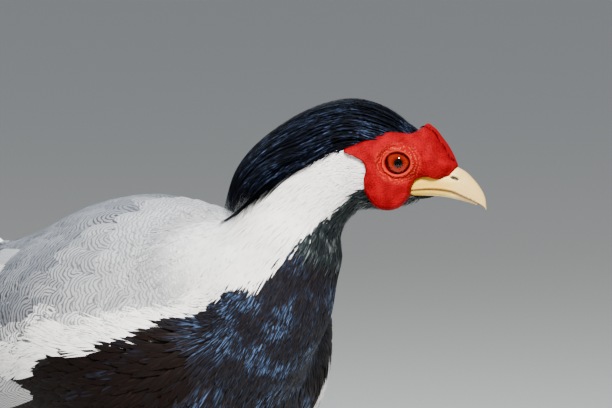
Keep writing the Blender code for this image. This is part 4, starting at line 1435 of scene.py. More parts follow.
def face_heights(plan, rim, from_lid, from_rim):
    """How far out each point stands, and the rim."""
    s, v = plan[..., 0], plan[..., 1]
    out = skull_side(s, v) + 1.5
    for ls, lo, lv, rs, ro, rv in LOBES:
        r2 = ((s - ls) / rs) ** 2 + ((v - lv) / rv) ** 2
        lobe = lo + ro * np.where(r2 < 1, np.clip(1 - r2, 0, 1) ** 0.62, 0) - 6 * np.clip(r2 - 1, 0, 2)
        out = smooth_max(lobe, out, 0.8)
    fold = LID_OUT + LID_FOLD * np.exp(-(((from_lid - 1.0) / 0.85) ** 2))
    fold = fold - LID_GROOVE * np.exp(-(((from_lid - 2.9) / 0.7) ** 2))
    out = out + (fold - out) * np.exp(-((from_lid / 3.4) ** 4))
    hang = 9.6 * ramp(rim[:, 1], -9, -15) * ramp(rim[:, 0], 9, 5)
    rim_out = np.maximum(np.maximum(skull_side(rim[:, 0], rim[:, 1]) - 0.8, 0.75), hang)[None]
    width = 2.2 + 3.0 * ramp(s, 6, 14)
    round_off = np.sqrt(1 - (1 - np.clip(from_rim / width, 0, 1)) ** 2)
    return rim_out + (out - rim_out) * round_off, rim_out


print("lobes:", len(LOBES), "rings:", FACE_ROWS)

# %% [markdown]
# ## Papillae and wrinkles
# The red skin is set with tiny papillae, like velvet, and with rows of beads and wrinkles round the lids.
# They are pushed out of the sheet as true relief, because a bump in the material alone would leave the
# outline smooth. Cells of a jittered grid give the papillae, and soft noise the wrinkles.


# %% Face relief and sheet
def face_relief(plan, angle, side, from_lid, from_rim):
    """How far papillae and wrinkles stand out, and how near the lids each point is."""
    flat = plan.reshape(-1, 2)
    shape = plan.shape[:2]
    polar = np.stack([from_lid, np.broadcast_to(angle[None] * 7.5, shape)], -1).reshape(-1, 2)
    velvet = np.clip(1 - cells(flat, 0.78) / 0.62, 0, 1).reshape(shape) ** 0.7
    beads = np.clip(1 - cells(polar, 0.66) / 0.6, 0, 1).reshape(shape) ** 0.7
    near = ramp(from_lid, 5.6, 2.4)
    relief = velvet * 0.16 * (1 - near) + beads * 0.20 * near
    relief *= ramp(from_lid, 0.5, 1.3) * (0.35 + 0.65 * ramp(from_rim, 0, 1.5))
    lines = np.array([noise.noise((a * 0.22, b * 0.22, side * 3.1)) for a, b in flat.tolist()])
    lines = lines.reshape(shape)
    wrinkles = 0.14 * np.abs(np.sin(from_lid * 2.3 + 4 * lines)) * near
    return relief + 0.22 * lines * ramp(from_lid, 3, 7) - wrinkles, near


def tucked_under(rim, inner, rim_out):
    """Three rings that turn in behind the rim, down to the skull."""
    back = []
    for share, settle in ((0.03, 0.35), (0.08, 0.8), (0.16, 1.0)):
        under = rim + (inner - rim) * share
        depth = skull_side(under[:, 0], under[:, 1]) - 1.4
        back.append(np.stack([under[:, 0], rim_out[0] + (depth - rim_out[0]) * settle, under[:, 1]], -1))
    return np.array(back)


def face_side(side, name):
    """The sheet of one side, with an extra ring inside the lids and three behind the rim."""
    plan, rim, inner, angle = face_plan(side)
    from_lid = np.linalg.norm(plan - inner[None], axis=-1)
    from_rim = np.linalg.norm(plan - rim[None], axis=-1)
    out, rim_out = face_heights(plan, rim, from_lid, from_rim)
    grid = np.stack([plan[..., 0], out, plan[..., 1]], -1)
    normal = grid_normals(grid)
    normal *= np.sign((normal[..., 1:2]).mean())
    relief, near = face_relief(plan, angle, side, from_lid, from_rim)
    grid = grid + normal * relief[..., None]
    grid = np.concatenate([grid[:1] - (0, 1.6, 0), grid, tucked_under(rim, inner, rim_out)])
    ring = ramp(from_lid, 0.2, 0.5) * ramp(from_lid, 1.5, 1.0)
    behind = np.zeros((3, FACE_AROUND))
    pale, high, lid = (np.concatenate([x[:1], x, behind]).ravel() for x in (near, relief, ring))
    points = grid.reshape(-1, 3) * (1, side, 1)
    quads = grid_quads(FACE_ROWS + 4, FACE_AROUND, wrap=True)
    if side > 0:
        quads = quads[:, ::-1]
    uv = points[:, [0, 2]] / 60 + 0.5
    return new_mesh(
        "face_skin_" + name, from_head(points), quads, {"OFBake": uv * 0.5 + (0 if side > 0 else 0.5, 0)},
        {"pale": pale, "high": high / 0.18, "lid": lid},
    )


print("face sheet:", 2 * (FACE_ROWS + 3) * FACE_AROUND, "triangles a side")

# %% [markdown]
# ## The face's red
# The red is painted darker in the low places between the papillae, as painted shade in those hollows. Near
# the lids it is paler and pinker, and the tops of the beads there are paler still, as a painted highlight.
# The lid's edge is paler and pinker too. The sheet stores those measures on its points, and the material
# only turns them into colour. The skin is matt: a shine would break the velvet.


# %% Face material
def face_material():
    n = Nodes("red face skin")
    wide = n.noise(160, 3, n.place())
    red = n.mix(wide, (0.205, 0.0, 0.0034, 1), (0.250, 0.0, 0.0040, 1))
    # painted shade: darker red in the low places between the papillae
    red = n.mix(n.smooth(n.value("high"), 1.1, -0.4), red, (0.130, 0.0, 0.0020, 1))
    # near the lids the skin is paler and pinker, with a painted highlight on the tops of the beads
    bead = n.mix(n.smooth(n.value("high"), 0.1, 0.7), (0.25, 0.002, 0.003, 1), (0.52, 0.090, 0.045, 1))
    colour = n.mix(n.times(n.value("pale"), 0.7), red, bead)
    colour = n.mix(n.times(n.value("lid"), 0.75), colour, (0.40, 0.030, 0.016, 1))
    n.set(Base_Color=colour, Roughness=0.65, Specular_IOR_Level=0.03)
    n.bump(n.noise(5200, 2, n.place()), 0.00012, 0.7)
    return n.material


FACE_SKIN = face_material()
for side, name in SIDES:
    wear(face_side(side, name), FACE_SKIN, "red_skin", "face_" + name)
print("meshes so far, with the solids:", len(bpy.data.meshes))

# %% [markdown]
# ## The strip of the forehead
# Between the two red lobes a narrow strip of black feathers runs down to the bill. In the photo it shows as
# a thin line along the ridge. The feathers are as small as bristles, so they get a function of their own.

# %% Forehead strip
FOREHEAD_FEATHERS = 420


def plant_forehead():
    """A row of tiny black feathers up the middle of the forehead, between the two red lobes."""
    count = FOREHEAD_FEATHERS
    ridge = short_of_ridge(FACE_EDGE[(FACE_EDGE[:, 0] > 10.5) & (FACE_EDGE[:, 1] > 1)])
    ridge = ridge[np.argsort(ridge[:, 0] - ridge[:, 1])]
    steps = np.concatenate([[0], np.cumsum(np.linalg.norm(np.diff(ridge, axis=0), axis=1))])
    at = rng.random(count) * (steps[-1] - 2) + 2
    length = rng.uniform(1.6, 2.8, count)
    t = feather_steps(5)
    far = np.clip(at[:, None] - length[:, None] * t, 0, steps[-1])
    s, v = (np.interp(far, steps, ridge[:, k]) for k in range(2))
    l = rng.normal(-0.5, 0.4, count).clip(-1.4, 0.4)[:, None] + 0 * s
    lift = -0.3 + (0.7 + rng.uniform(0, 0.6, (count, 1))) * t
    outward = unit(np.stack([s - 4, l * 1.5, v + 4], -1))
    line = np.stack([s, l, v], -1) + outward * lift[..., None]
    values = strand_values(count, 2.0, 0.4, 0.5)
    widths = rng.uniform(0.22, 0.40, count)
    piece = feather_grids(
        "feathers_forehead", from_head(line), outward @ HEAD_AXES, widths, lance_profile, 3, values,
        from_head(line[:, 0]), camber=0.2, twist=0.3,
    )
    wear(piece, CREST, "black_feather")


plant_forehead()

# %% [markdown]
# ## Eyes
# An eye is two pieces. The ball holds a sunken iris with a round pupil, and the cornea is a clear dome
# over it. The two give the depth and the wet highlight of a real eye, which a painted ball lacks. Both
# are solids of revolution about an axis that points outwards and a little forward.

# %% Eye shape
IRIS = 6.0
EYEBALL = 6.45  # radius behind the iris
CORNEA_DOME = 6.62
IRIS_DEPTH = 3.0
EYE_TURN = math.radians(6)  # the eyes look a little forward


def facing_out(points, faces):
    """The faces, turned if needed so that they look away from the middle."""
    a, b, c = (points[faces[:, k]] for k in range(3))
    out = (a + b + c) / 3 - points.mean(0)
    return faces if (np.cross(b - a, c - a) * out).sum() > 0 else faces[:, ::-1]


def eye_rings(side, profile, around=96):
    """A solid of revolution about the eye's axis: profile gives radius and depth from its centre."""
    turn = np.linspace(0, math.tau, around, endpoint=False)
    radius, depth = np.array(profile).T
    across, high = radius[:, None] * np.cos(turn), radius[:, None] * np.sin(turn)
    out = np.repeat(depth[:, None], around, 1)
    s = across * math.cos(EYE_TURN) + out * math.sin(EYE_TURN)
    l = -across * math.sin(EYE_TURN) + out * math.cos(EYE_TURN)
    points = np.stack([EYE[0] + EYE_SHIFT + s, side * (EYE[1] + l), EYE[2] + high], -1)
    quads = grid_quads(len(profile), around, wrap=True)
    points = from_head(points.reshape(-1, 3))
    return points, facing_out(points, quads), np.repeat(radius, around)


print("cornea stands", round(CORNEA_DOME - IRIS_DEPTH, 1), "mm in front of the iris")

# %% [markdown]
# ## Iris and cornea
# The iris is red-brown, darker round the pupil and at its rim, with fine streaks. Its colours follow the
# distance from the middle, which is stored on the points. The cornea only reflects: it mixes a clear and a
# glossy surface by angle. The ball's profile is a shallow bowl for the iris and then the round back.


# %% Eyes
def iris_material():
    n = Nodes("iris")
    r = n.value("radius")
    streaks = n.noise(900, 3, n.place())
    colour = n.mix(n.smooth(r, 0.36, 0.62), (0.070, 0.0030, 0.0010, 1), (0.145, 0.0052, 0.0008, 1))
    colour = n.mix(n.times(streaks, n.smooth(r, 0.4, 0.8)), colour, (0.19, 0.0105, 0.0015, 1))
    colour = n.mix(n.smooth(r, 0.92, 1.0), colour, (0.020, 0.006, 0.004, 1))
    colour = n.mix(n.smooth(r, 0.355, 0.335), colour, (0.001, 0.001, 0.001, 1))
    n.set(Base_Color=colour, Roughness=0.8, Specular_IOR_Level=0.0)
    n.bump(streaks, 0.0002)
    return n.material


def cornea_material():
    n = Nodes("cornea")
    shine = n.add("BsdfGlossy")
    shine.inputs["Roughness"].default_value = 0.02
    clear = n.add("BsdfTransparent")
    fresnel = n.add("Fresnel")
    fresnel.inputs["IOR"].default_value = 1.30
    both = n.add("MixShader")
    n.tree.links.new(fresnel.outputs[0], both.inputs[0])
    n.tree.links.new(clear.outputs[0], both.inputs[1])
    n.tree.links.new(shine.outputs[0], both.inputs[2])
    n.tree.links.new(both.outputs[0], n.tree.nodes["Material Output"].inputs[0])
    return n.material


IRIS_MATERIAL, CORNEA = iris_material(), cornea_material()
for side, name in SIDES:
    bowl = [(r, IRIS_DEPTH - 0.25 * (r / IRIS)) for r in np.linspace(0.4, IRIS * 0.97, 18)]
    bowl = [(0.02, IRIS_DEPTH)] + bowl
    ball = [(EYEBALL * math.sin(a), EYEBALL * math.cos(a)) for a in np.linspace(1.17, 3.1, 16)]
    points, quads, radius = eye_rings(side, bowl + ball)
    eyeball = new_mesh("eyeball_" + name, points, quads, None, {"radius": radius / IRIS})
    wear(eyeball, IRIS_MATERIAL, "eye", "eye_" + name)
    dome = [(CORNEA_DOME * math.sin(a), CORNEA_DOME * math.cos(a)) for a in np.linspace(0.003, 1.25, 24)]
    points, quads, radius = eye_rings(side, dome)
    wear(new_mesh("cornea_" + name, points, quads), CORNEA, "eye")
print("iris", 2 * IRIS, "mm across")

# %% [markdown]
# ## The bill's stations
# A bird's bill is horn over bone: a strong curved upper half with a sharp edge, and a slimmer lower half
# that closes inside it. Both are given by a few stations from the gape forward, and the stations between
# are eased, so that no kink shows at a table row.

# %% Bill tables
UPPER_BILL = [
    (2, 7.2, -7.5, -12.8), (10, 7.4, -4, -11.8), (18, 7, -1, -11.4), (26.5, 6.2, -0.6, -12.4),
    (32.5, 5, -3.1, -15), (37, 3.7, -7.2, -17.2), (40.4, 2.5, -11.6, -18.9), (42.4, 1.5, -15.8, -20.4),
    (43, 0.6, -20, -21.8),
]
# Forward, half width, keel
LOWER_BILL = [
    (2, 6.4, -15.6), (12, 6.4, -15.1), (22, 5.6, -15.4), (30, 4.3, -16.9), (36, 2.8, -18.4),
    (38.6, 1.2, -19.4),
]
BILL_EDGES = np.array(UPPER_BILL)


def stations(table, count):
    """A table's rows interpolated with eased slopes at count even steps."""
    table = np.array(table, float)
    knots = np.column_stack([np.arange(len(table)), table])
    t = np.linspace(0, len(table) - 1, count)
    return np.stack([smooth_column(t, knots, k + 1) for k in range(table.shape[1])], -1)


def edge_height(s):
    """How high the biting edge is at s."""
    return np.interp(s, BILL_EDGES[:, 0], BILL_EDGES[:, 3])


print("bill's length from the gape:", round(UPPER_BILL[-1][0] - 10), "mm")

# %% [markdown]
# ## The upper half
# Each section is an arch over a hollow underside. The nostril is a slit under a small scale, both pushed
# into the surface, and a raised lip runs along the biting edge. Faint growth lines cross the tip.

# %% Upper half
NOSTRIL = np.array([28.4, -6.2])
NOSTRIL_TILT = math.radians(-20)


def upper_bill():
    rows, arch, under = 170, 61, 13
    k = np.linspace(-1, 1, arch)
    made = []
    for s, half, ridge, edge in stations(UPPER_BILL, rows):
        high = ridge - edge
        l = half * np.sign(k) * np.abs(np.sin(k * math.pi / 2)) ** 0.9
        z = edge + high * np.cos(k * math.pi / 2) ** 0.78
        made.append(np.stack([np.full(arch, s), l, z], -1))
        x = np.linspace(1, -1, under + 2)[1:-1]
        hollow = edge + 0.28 * high * (1 - x**2) ** 0.5
        made.append(np.stack([np.full(under, s), half * x, hollow], -1))
    grid = np.vstack(made).reshape(rows, arch + under, 3)
    normal = grid_normals(grid)
    normal *= np.sign((normal[rows // 2, arch // 2, 2]))
    s, l, z = grid[..., 0], grid[..., 1], grid[..., 2]
    ds, dz = s - NOSTRIL[0], z - NOSTRIL[1]
    a = ds * math.cos(NOSTRIL_TILT) + dz * math.sin(NOSTRIL_TILT)
    b = -ds * math.sin(NOSTRIL_TILT) + dz * math.cos(NOSTRIL_TILT)
    outside = ramp(np.abs(l), 1.6, 3.2)
    slit = np.exp(-(((a / 2.0) ** 2 + (b / 0.62) ** 2) ** 2)) * outside
    scale = np.exp(-((a / 2.8) ** 2 + ((b - 1.5) / 1.1) ** 2)) * outside
    lip = 0.3 * np.exp(-(((z - edge_height(s) - 1.6) / 0.7) ** 2)) * outside
    grow = 0.012 * np.sin(s * 3.1 + 0.3 * np.sin(z)) * ramp(s, 24, 34)
    grid = grid + normal * (0.45 * scale - 1.0 * slit - lip * ramp(s, 8, 16) + grow)[..., None]
    return grid, slit


bill_grid, nostril_slit = upper_bill()
print("upper half:", bill_grid.shape)

# %% [markdown]
# ## The lower half, and a skin over sections
# The lower half is a keel under a flat top, which meets the edge of the upper one. One function then turns
# any stack of closed sections into a mesh with closed ends. It serves for legs, claws and spurs too.


# %% Lower half and loft
def lower_bill():
    rows, arch = 110, 33
    k = np.linspace(-1, 1, arch)
    made = []
    for s, half, keel in stations(LOWER_BILL, rows):
        edge = edge_height(s) + 0.1
        l = half * np.sign(k) * np.abs(np.sin(k * math.pi / 2)) ** 0.85
        z = edge - (edge - keel) * np.cos(k * math.pi / 2) ** 0.7
        made.append(np.stack([np.full(arch, s), l, z], -1))
        x = np.linspace(1, -1, 9)[1:-1]
        made.append(np.stack([np.full(7, s), half * x, np.full(7, edge)], -1))
    return np.vstack(made).reshape(rows, arch + 7, 3)


def lofted(grid, values):
    """Points, triangles and values of a closed (rows, columns) grid, capped at both ends."""
    rows, columns = grid.shape[:2]
    ends = grid[[0, -1]].mean(1)
    points = np.vstack([grid.reshape(-1, 3), ends])
    quads = grid_quads(rows, columns, wrap=True)
    ring = np.arange(columns)
    after = (ring + 1) % columns
    last_row = (rows - 1) * columns
    first_cap = np.stack([np.full(columns, rows * columns), after, ring], -1)
    last_cap = np.stack([np.full(columns, rows * columns + 1), last_row + ring, last_row + after], -1)
    faces = np.vstack([quads[:, [0, 1, 2]], quads[:, [0, 2, 3]], first_cap, last_cap])
    values = {k: np.append(v.ravel(), [v[0].mean(), v[-1].mean()]) for k, v in values.items()}
    return points, faces, values


low_grid = lower_bill()
print("lower half:", low_grid.shape)

# %% [markdown]
# ## Horn
# The horn is yellow, deeper at the base, with a paler painted highlight along the ridge, browner on the
# biting edge, with fine streaks along it. A little light scatters under its surface, as it does in horn and
# nails.


# %% Bill
def bill_material():
    n = Nodes("bill horn")
    streak_place = n.add("Mapping")
    streak_place.inputs["Scale"].default_value = (60, 60, 420)
    n.plug(n.place(), streak_place.inputs["Vector"])
    streak = n.noise(1.0, 3, streak_place.outputs[0])
    cloud = n.noise(220, 3, n.place())
    horn = n.mix(cloud, (0.68, 0.47, 0.095, 1), (0.58, 0.38, 0.060, 1))
    horn = n.mix(n.times(n.smooth(streak, 0.44, 0.62), 0.7), horn, (0.80, 0.64, 0.24, 1))
    base = n.mix(n.value("along"), (0.62, 0.37, 0.016, 1), horn)
    # painted highlight: paler horn along the top of the ridge
    ridge = n.mix(n.times(n.value("ridge"), 0.6), base, (0.82, 0.70, 0.36, 1))
    tip = n.mix(n.smooth(n.value("along"), 0.75, 1.0), ridge, (0.58, 0.40, 0.13, 1))
    edged = n.mix(n.value("edge"), tip, (0.36, 0.15, 0.06, 1))
    # painted shade: the nostril's slit is painted near black, as the shade inside the opening
    colour = n.mix(n.value("slit"), edged, (0.012, 0.005, 0.004, 1))
    n.set(Base_Color=colour, Roughness=0.36, Specular_IOR_Level=0.5)
    n.set(Subsurface_Weight=0.15, Subsurface_Radius=(0.002, 0.0012, 0.0006))
    n.bump(n.plus(streak, n.noise(1400, 3, n.place())), 0.00012, 0.7)
    return n.material


BILL_HORN = bill_material()


def bill_piece(name, grid, slit, node):
    s, z = grid[..., 0], grid[..., 2]
    edge = edge_height(s)
    crown_line = np.interp(s, BILL_EDGES[:, 0], BILL_EDGES[:, 2])
    values = {
        "along": ramp(s, 10, 34),
        "edge": ramp(np.abs(z - edge), 0.55, 0.1) * 0.8,
        # the nostril's slit, which is painted near black as shade
        "slit": ramp(slit, 0.05, 0.3),
        # where the painted highlight along the ridge lies
        "ridge": ramp((z - edge) / (crown_line - edge), 0.55, 0.95),
    }
    points, faces, values = lofted(grid, values)
    uv = points[:, [0, 2]] / 60 + 0.5
    made = new_mesh(name, from_head(points), faces, {"OFBake": uv}, values)
    return wear(made, BILL_HORN, "bill_horn", node)


bill_piece("bill_upper_horn", bill_grid, nostril_slit, "bill_upper")
bill_piece("bill_lower_horn", low_grid, np.zeros(low_grid.shape[:2]), "bill_lower")
print("bill: sections of", bill_grid.shape[1], "and", low_grid.shape[1], "points")

# %% [markdown]
# ## Folded wings
# Long quills lie in tiers, each over the roots of the tier behind it: primaries lowest, then the
# secondaries, the tertials on top, and rows of coverts in front. A table says where the first and the last
# quill of each tier begins and ends on the wing hull, and the quills between are spaced evenly.

# %% Wing tables
# Count, then first and last of: root x, root angle, tip x, tip angle; half width; lift at the two ends
WING_TIERS = (
    (9, (6, -8), (-16, -10), (-172, -196), (-2, 12), 7.5, (-5.0, -1.0)),
    (11, (44, 10), (-12, 14), (-112, -158), (-16, 26), 11.5, (1.0, 3.4)),
    (4, (10, -4), (30, 40), (-150, -128), (24, 32), 13, (3.4, 3.6)),
    (13, (40, 6), (-18, 42), (-58, -84), (-24, 33), 10.5, (1.8, 4.4)),
)
# Painted shade: how much each tier's white is greyed as sky-lit shade
WING_PAINTED_SHADE = (0.2, 0.25, 0.45, 0.6)  # how grey each tier is
WING_BARS = (1.0, 0.9, 0.85, 0.7)  # and how strong its lines are
WING_LINE = 3.4  # millimetres from one black line to the next
WING_ROWS = 22
print("quills in a wing:", sum(tier[0] for tier in WING_TIERS))

# %% [markdown]
# ## The quills
# Every quill follows the wing hull, a little over the tier below it. Its base dives under the tier in
# front. The black lines run in a V towards the tip, which the material draws where vee is 1. All tiers
# of a wing become one mesh, so that each wing is one piece, as its solid is.


# %% Wing feathers
def wing_tier(side, tier, number):
    count, root_x, root_a, tip_x, tip_a, half_width, lifts = tier
    t = np.linspace(0, 1, count)
    share = feather_steps(WING_ROWS)
    root = [a + (b - a) * t for a, b in (root_x, root_a)]
    tip = [a + (b - a) * t for a, b in (tip_x, tip_a)]
    tip[0] = tip[0] + rng.uniform(-3, 3, count)
    root[0] = root[0] + rng.uniform(-4, 4, count)
    x = root[0][:, None] + (tip[0] - root[0])[:, None] * share
    angle = root[1][:, None] + (tip[1] - root[1])[:, None] * share
    lift = (lifts[0] + (lifts[1] - lifts[0]) * t)[:, None]
    rise = -4 + (lift + 4) * np.clip(share / 0.4, 0, 1) ** 0.8
    line, out = wing_place(side, x, angle, rise)
    length = np.linalg.norm(line[:, -1] - line[:, 0], axis=1)
    values = {
        "bars": np.full(count, WING_BARS[number]),
        "lines": length / WING_LINE,
        "tone": rng.random(count) * 0.5,
        "half": np.full(count, half_width / WING_LINE),
        "vee": np.ones(count),
        # painted shade, to match the mantle's
        "shade": WING_PAINTED_SHADE[number] * rng.uniform(0.7, 1.2, count),
    }
    return line, out, np.full(count, float(half_width)), values, line[:, 0]


def plant_wing(side, name):
    tiers = [wing_tier(side, tier, k) for k, tier in enumerate(WING_TIERS)]
    line, out, width = (np.concatenate([tier[k] for tier in tiers]) for k in range(3))
    values = {k: np.concatenate([tier[3][k] for tier in tiers]) for k in tiers[0][3]}
    roots = np.concatenate([tier[4] for tier in tiers])
    piece = feather_grids(
        "wing_feathers_" + name, line, out, width, vane_profile, 11, values,
        roots, camber=0.1, ragged=1.0,
    )
    return wear(piece, PLUMAGE, "white_feather", "wing_" + name)


for side, name in SIDES:
    plant_wing(side, name)

# %% [markdown]
# ## The tail's curves
# The tail leaves the rump a little upwards and droops along an arc. Each feather's line is summed from
# small steps whose pitch falls evenly, so its length is exact.

# %% Tail helpers
TAIL_LENGTH = 590
TAIL_SHARES = np.array([1.0, 0.9, 0.77, 0.64, 0.52, 0.42, 0.34, 0.28])
TAIL_LINE = 5.0  # millimetres from one black line to the next
COVERT_LINE = 3.4


def tail_profile(t):
    body = 0.3 + 0.7 * np.sin(np.clip(t / 0.5, 0, 1) * math.pi / 2)
    return body * np.sqrt(np.clip(1 - np.clip(t - 0.6, 0, 1) ** 2 / 0.16, 0.004, 1))


def arched(roots, lengths, pitch, droop, yaw, rows):
    """Lines that leave their roots backwards at a pitch and bend down by droop, in degrees."""
    t = feather_steps(rows)
    middle = (t[1:] + t[:-1]) / 2
    a = np.radians(pitch[:, None] - droop[:, None] * middle)
    way = np.stack([-np.cos(a) * np.cos(yaw)[:, None], np.cos(a) * np.sin(yaw)[:, None], np.sin(a)], -1)
    moves = way * (lengths[:, None] * np.diff(t))[..., None]
    return roots[:, None] + np.concatenate([np.zeros((len(roots), 1, 3)), np.cumsum(moves, axis=1)], axis=1)


def roof_ways(side, degrees, rows):
    """Ways out of feathers that lean like tiles of a steep roof, the same along each feather."""
    tilt = np.radians(degrees)
    return np.stack([0 * tilt, side * np.sin(tilt), np.cos(tilt)], -1)[:, None] + np.zeros((1, rows, 1))


print("tail feathers, longest to shortest:", (TAIL_LENGTH * TAIL_SHARES).round())

# %% [markdown]
# ## The long tail feathers
# Sixteen long feathers stand in a steep vault, the middle pair longest and nearly plain white, the outer
# ones shorter and barred. Each lies a little under its inner neighbour.


# %% Tail feathers
def plant_tail_feathers(side, name):
    k = np.arange(8)
    rows = 44
    roots = np.stack([np.full(8, -148.0), side * (3.6 + 1.5 * k), 243 - 3.4 * k], -1)
    lengths = TAIL_LENGTH * TAIL_SHARES
    line = arched(roots, lengths, 9 - 1.8 * k, 26 - 2.2 * k, side * np.radians(0.6 + 0.75 * k), rows)
    out = roof_ways(side, 50 + 3.5 * k, rows)
    half = 23 - 0.9 * k
    values = {
        "bars": np.clip((k - 0.2) / 1.6, 0.12, 1),
        "lines": lengths / TAIL_LINE,
        "tone": rng.random(8) * 0.4,
        "half": half / TAIL_LINE,
        "vee": np.ones(8),
    }
    piece = feather_grids(
        "tail_feathers_" + name, from_body(line), unit(out), half, tail_profile, 17, values,
        from_body(line[:, 0]), camber=0.1, ragged=2.0,
    )
    wear(piece, PLUMAGE, "white_feather", "tail_" + name)


print("the middle pair ends", TAIL_LENGTH, "mm from its roots along the curve")

# %% [markdown]
# ## The coverts over the tail
# Three rows of shorter feathers cover the roots of the tail and carry the lines of the back over to it.
# They start under the back's feathers, which hides where they are rooted.

# %% Tail coverts
COVERT_ROWS, COVERTS_A_ROW = 3, 10
COVERT_HALF = 10.5


def plant_tail_coverts(side, name):
    n = COVERT_ROWS * COVERTS_A_ROW
    level, k = np.divmod(np.arange(n), COVERTS_A_ROW)
    beside = side * (2 + (3.4 - 0.5 * level) * k)
    roots = np.stack([-96 - 15.0 * level, beside, 247 - 2.6 * k - 3.2 * level], -1)
    lengths = 84 + 26 * level - 4.5 * k + rng.uniform(-5, 5, n)
    pitch = 5.0 - 0.6 * k - 1.0 * level
    line = arched(roots, lengths, pitch, 14 + 0 * k, side * np.radians(-1.6 * k + 3.0), 16)
    values = {
        "bars": np.ones(n),
        "lines": lengths / COVERT_LINE,
        "tone": rng.random(n) * 0.5,
        "half": np.full(n, COVERT_HALF / COVERT_LINE),
        "vee": np.ones(n),
        # painted shade, less on the rows further back
        "shade": 0.55 - 0.2 * level,
    }
    piece = feather_grids(
        "tail_coverts_" + name, from_body(line), unit(roof_ways(side, 14 + 6.0 * k, 16)),
        np.full(n, COVERT_HALF), vane_profile, 9, values, from_body(roots), camber=0.15, ragged=1.2,
    )
    wear(piece, PLUMAGE, "white_feather")


for side, name in SIDES:
    plant_tail_feathers(side, name)
    plant_tail_coverts(side, name)

# %% [markdown]
# ## Under the tail
# Black, loose feathers fill the hollow below the tail's roots. They fan out from the vent, long in the
# middle and shorter at the sides.

# %% Undertail coverts
UNDERTAIL_FEATHERS = 64


def plant_undertail():
    n = UNDERTAIL_FEATHERS
    fan = rng.uniform(-1, 1, n)
    depth = rng.random(n)
    roots = np.stack([-112 - 30 * depth, 16 * fan, 190 - 14 * (1 - fan**2) * (1 - 0.55 * depth)], -1)
    lengths = 58 + 26 * depth * (1 - 0.4 * np.abs(fan)) + rng.uniform(-5, 5, n)
    line = arched(roots, lengths, -1 + 10 * (1 - depth), 4 + 0 * fan, np.radians(5 * fan), 14)
    out = unit(np.stack([0 * fan, 0.9 * fan, -1 + 0 * fan], -1))[:, None] + np.zeros((1, 14, 1))
    values = strand_values(n, 20.0, 2.0, 0.3)
    piece = feather_grids(
        "undertail_feathers", from_body(line), out, np.full(n, 7.0), vane_profile, 7, values,
        from_body(roots), camber=0.2, ragged=1.5, twist=0.05,
    )
    wear(piece, BREAST, "black_feather", "undertail_coverts")


plant_undertail()

# %% [markdown]
# ## Scales
# Red scales cover shank and toes: broad plates down the front and over the toes, small ones at the sides.
# They are pressed out of fine tubes, the plates by a saw-tooth along the length, the small ones by a net of
# cells.

# %% Leg tables and scales
# x, distance from the middle, z, radius along, radius across
SHANK = [
    (-31, 42, 116, 4.0, 4.0), (-35, 42, 103, 6.2, 5.6), (-36, 42, 96, 6.6, 5.8), (-32.5, 42, 86, 4.9, 4.4),
    (-25, 42, 62, 4.4, 3.9), (-16, 42, 34, 4.5, 4.0), (-10.5, 42, 17, 5.2, 4.9), (-9, 42, 9, 4.6, 4.4),
]
ANKLE = (-9.0, 42.0, 8.0)
# Angle outwards, length, claw length
TOES = ((-31, 36, 9.5), (-1, 50, 11.5), (30, 38, 10), (172, 15, 7))
SCALE_LOW, SCALE_HIGH = 0.38, 0.62  # where a small scale falls off to the groove round it


def scutes(along, angle, length, height):
    """Plates in front that overlap downwards and small scales at the back."""
    front = ramp(np.abs(angle), 1.35, 1.05)
    saw = (along / length) % 1.0
    grooves = np.exp(-(((saw - 1) / 0.07) ** 2)) + np.exp(-((saw / 0.07) ** 2))
    plate = height * (saw**1.5 - 1.6 * grooves)
    net = cells(np.stack([along, angle * 4.4], -1).reshape(-1, 2), 2.1).reshape(along.shape)
    scale = height * (0.6 - 1.6 * ramp(net, SCALE_LOW, SCALE_HIGH))
    return front * plate + (1 - front) * scale


print("shank: from", SHANK[0][2], "to", SHANK[-1][2], "mm above the floor")

# %% [markdown]
# ## Shank, toes and knuckle
# The shank is a tube through its stations, the toes run out flat from the ankle with soft pads below, and a
# rough ball joins them. The soles are smooth and end at the floor.

# %% Shank and toes
PLATE_HEIGHT = 0.28


def shank(side):
    rows, around = 330, 72
    table = stations(SHANK, rows)
    turn = np.linspace(-math.pi, math.pi, around, endpoint=False)
    x, y, z, along, across = (table[:, k : k + 1] for k in range(5))
    forward, left = along * np.cos(turn), across * np.sin(turn)
    grid = np.stack([x + forward, side * y + left, z + 0.28 * forward], -1)
    way = unit(np.stack([np.cos(turn), np.sin(turn), 0.28 * np.cos(turn)], -1))[None]
    distance = np.broadcast_to(-z, (rows, around))
    relief = scutes(distance, np.broadcast_to(turn, (rows, around)), 4.3, PLATE_HEIGHT)
    grid = grid + way * relief[..., None]
    return grid, relief


def toe(side, index):
    angle, length, _ = TOES[index]
    rows, around = 150, 48
    t = np.linspace(0, 1, rows)[:, None]
    turn = np.linspace(-math.pi, math.pi, around, endpoint=False)
    a = math.radians(angle) * side
    way, over = np.array([math.cos(a), math.sin(a)]), np.array([-math.sin(a), math.cos(a)])
    pads = 0.35 * np.cos(math.tau * 3 * t) * ramp(t, 0.05, 0.15)
    radius = (4.1 - 1.7 * t + pads) * np.sqrt(np.clip(1 - np.clip(t - 0.95, 0, 1) ** 2 / 0.003, 0.05, 1))
    lift = ANKLE[2] * np.clip(1 - t / 0.34, 0, 1) ** 1.6
    shape = (rows, around)
    relief = scutes(np.broadcast_to(t * length, shape), np.broadcast_to(turn, shape), 2.7, 0.2)
    sole = ramp(np.abs(turn), 2.1, 2.5)[None]
    reach = radius + relief * (1 - sole)
    sideways, high = reach * np.sin(turn), reach * np.cos(turn)
    z = np.maximum(radius * 0.82 + lift + high, 0.0)
    along = length * t
    x = ANKLE[0] + way[0] * along + over[0] * sideways
    y = side * ANKLE[1] + way[1] * along + over[1] * sideways
    return np.stack([x, y, z], -1), relief


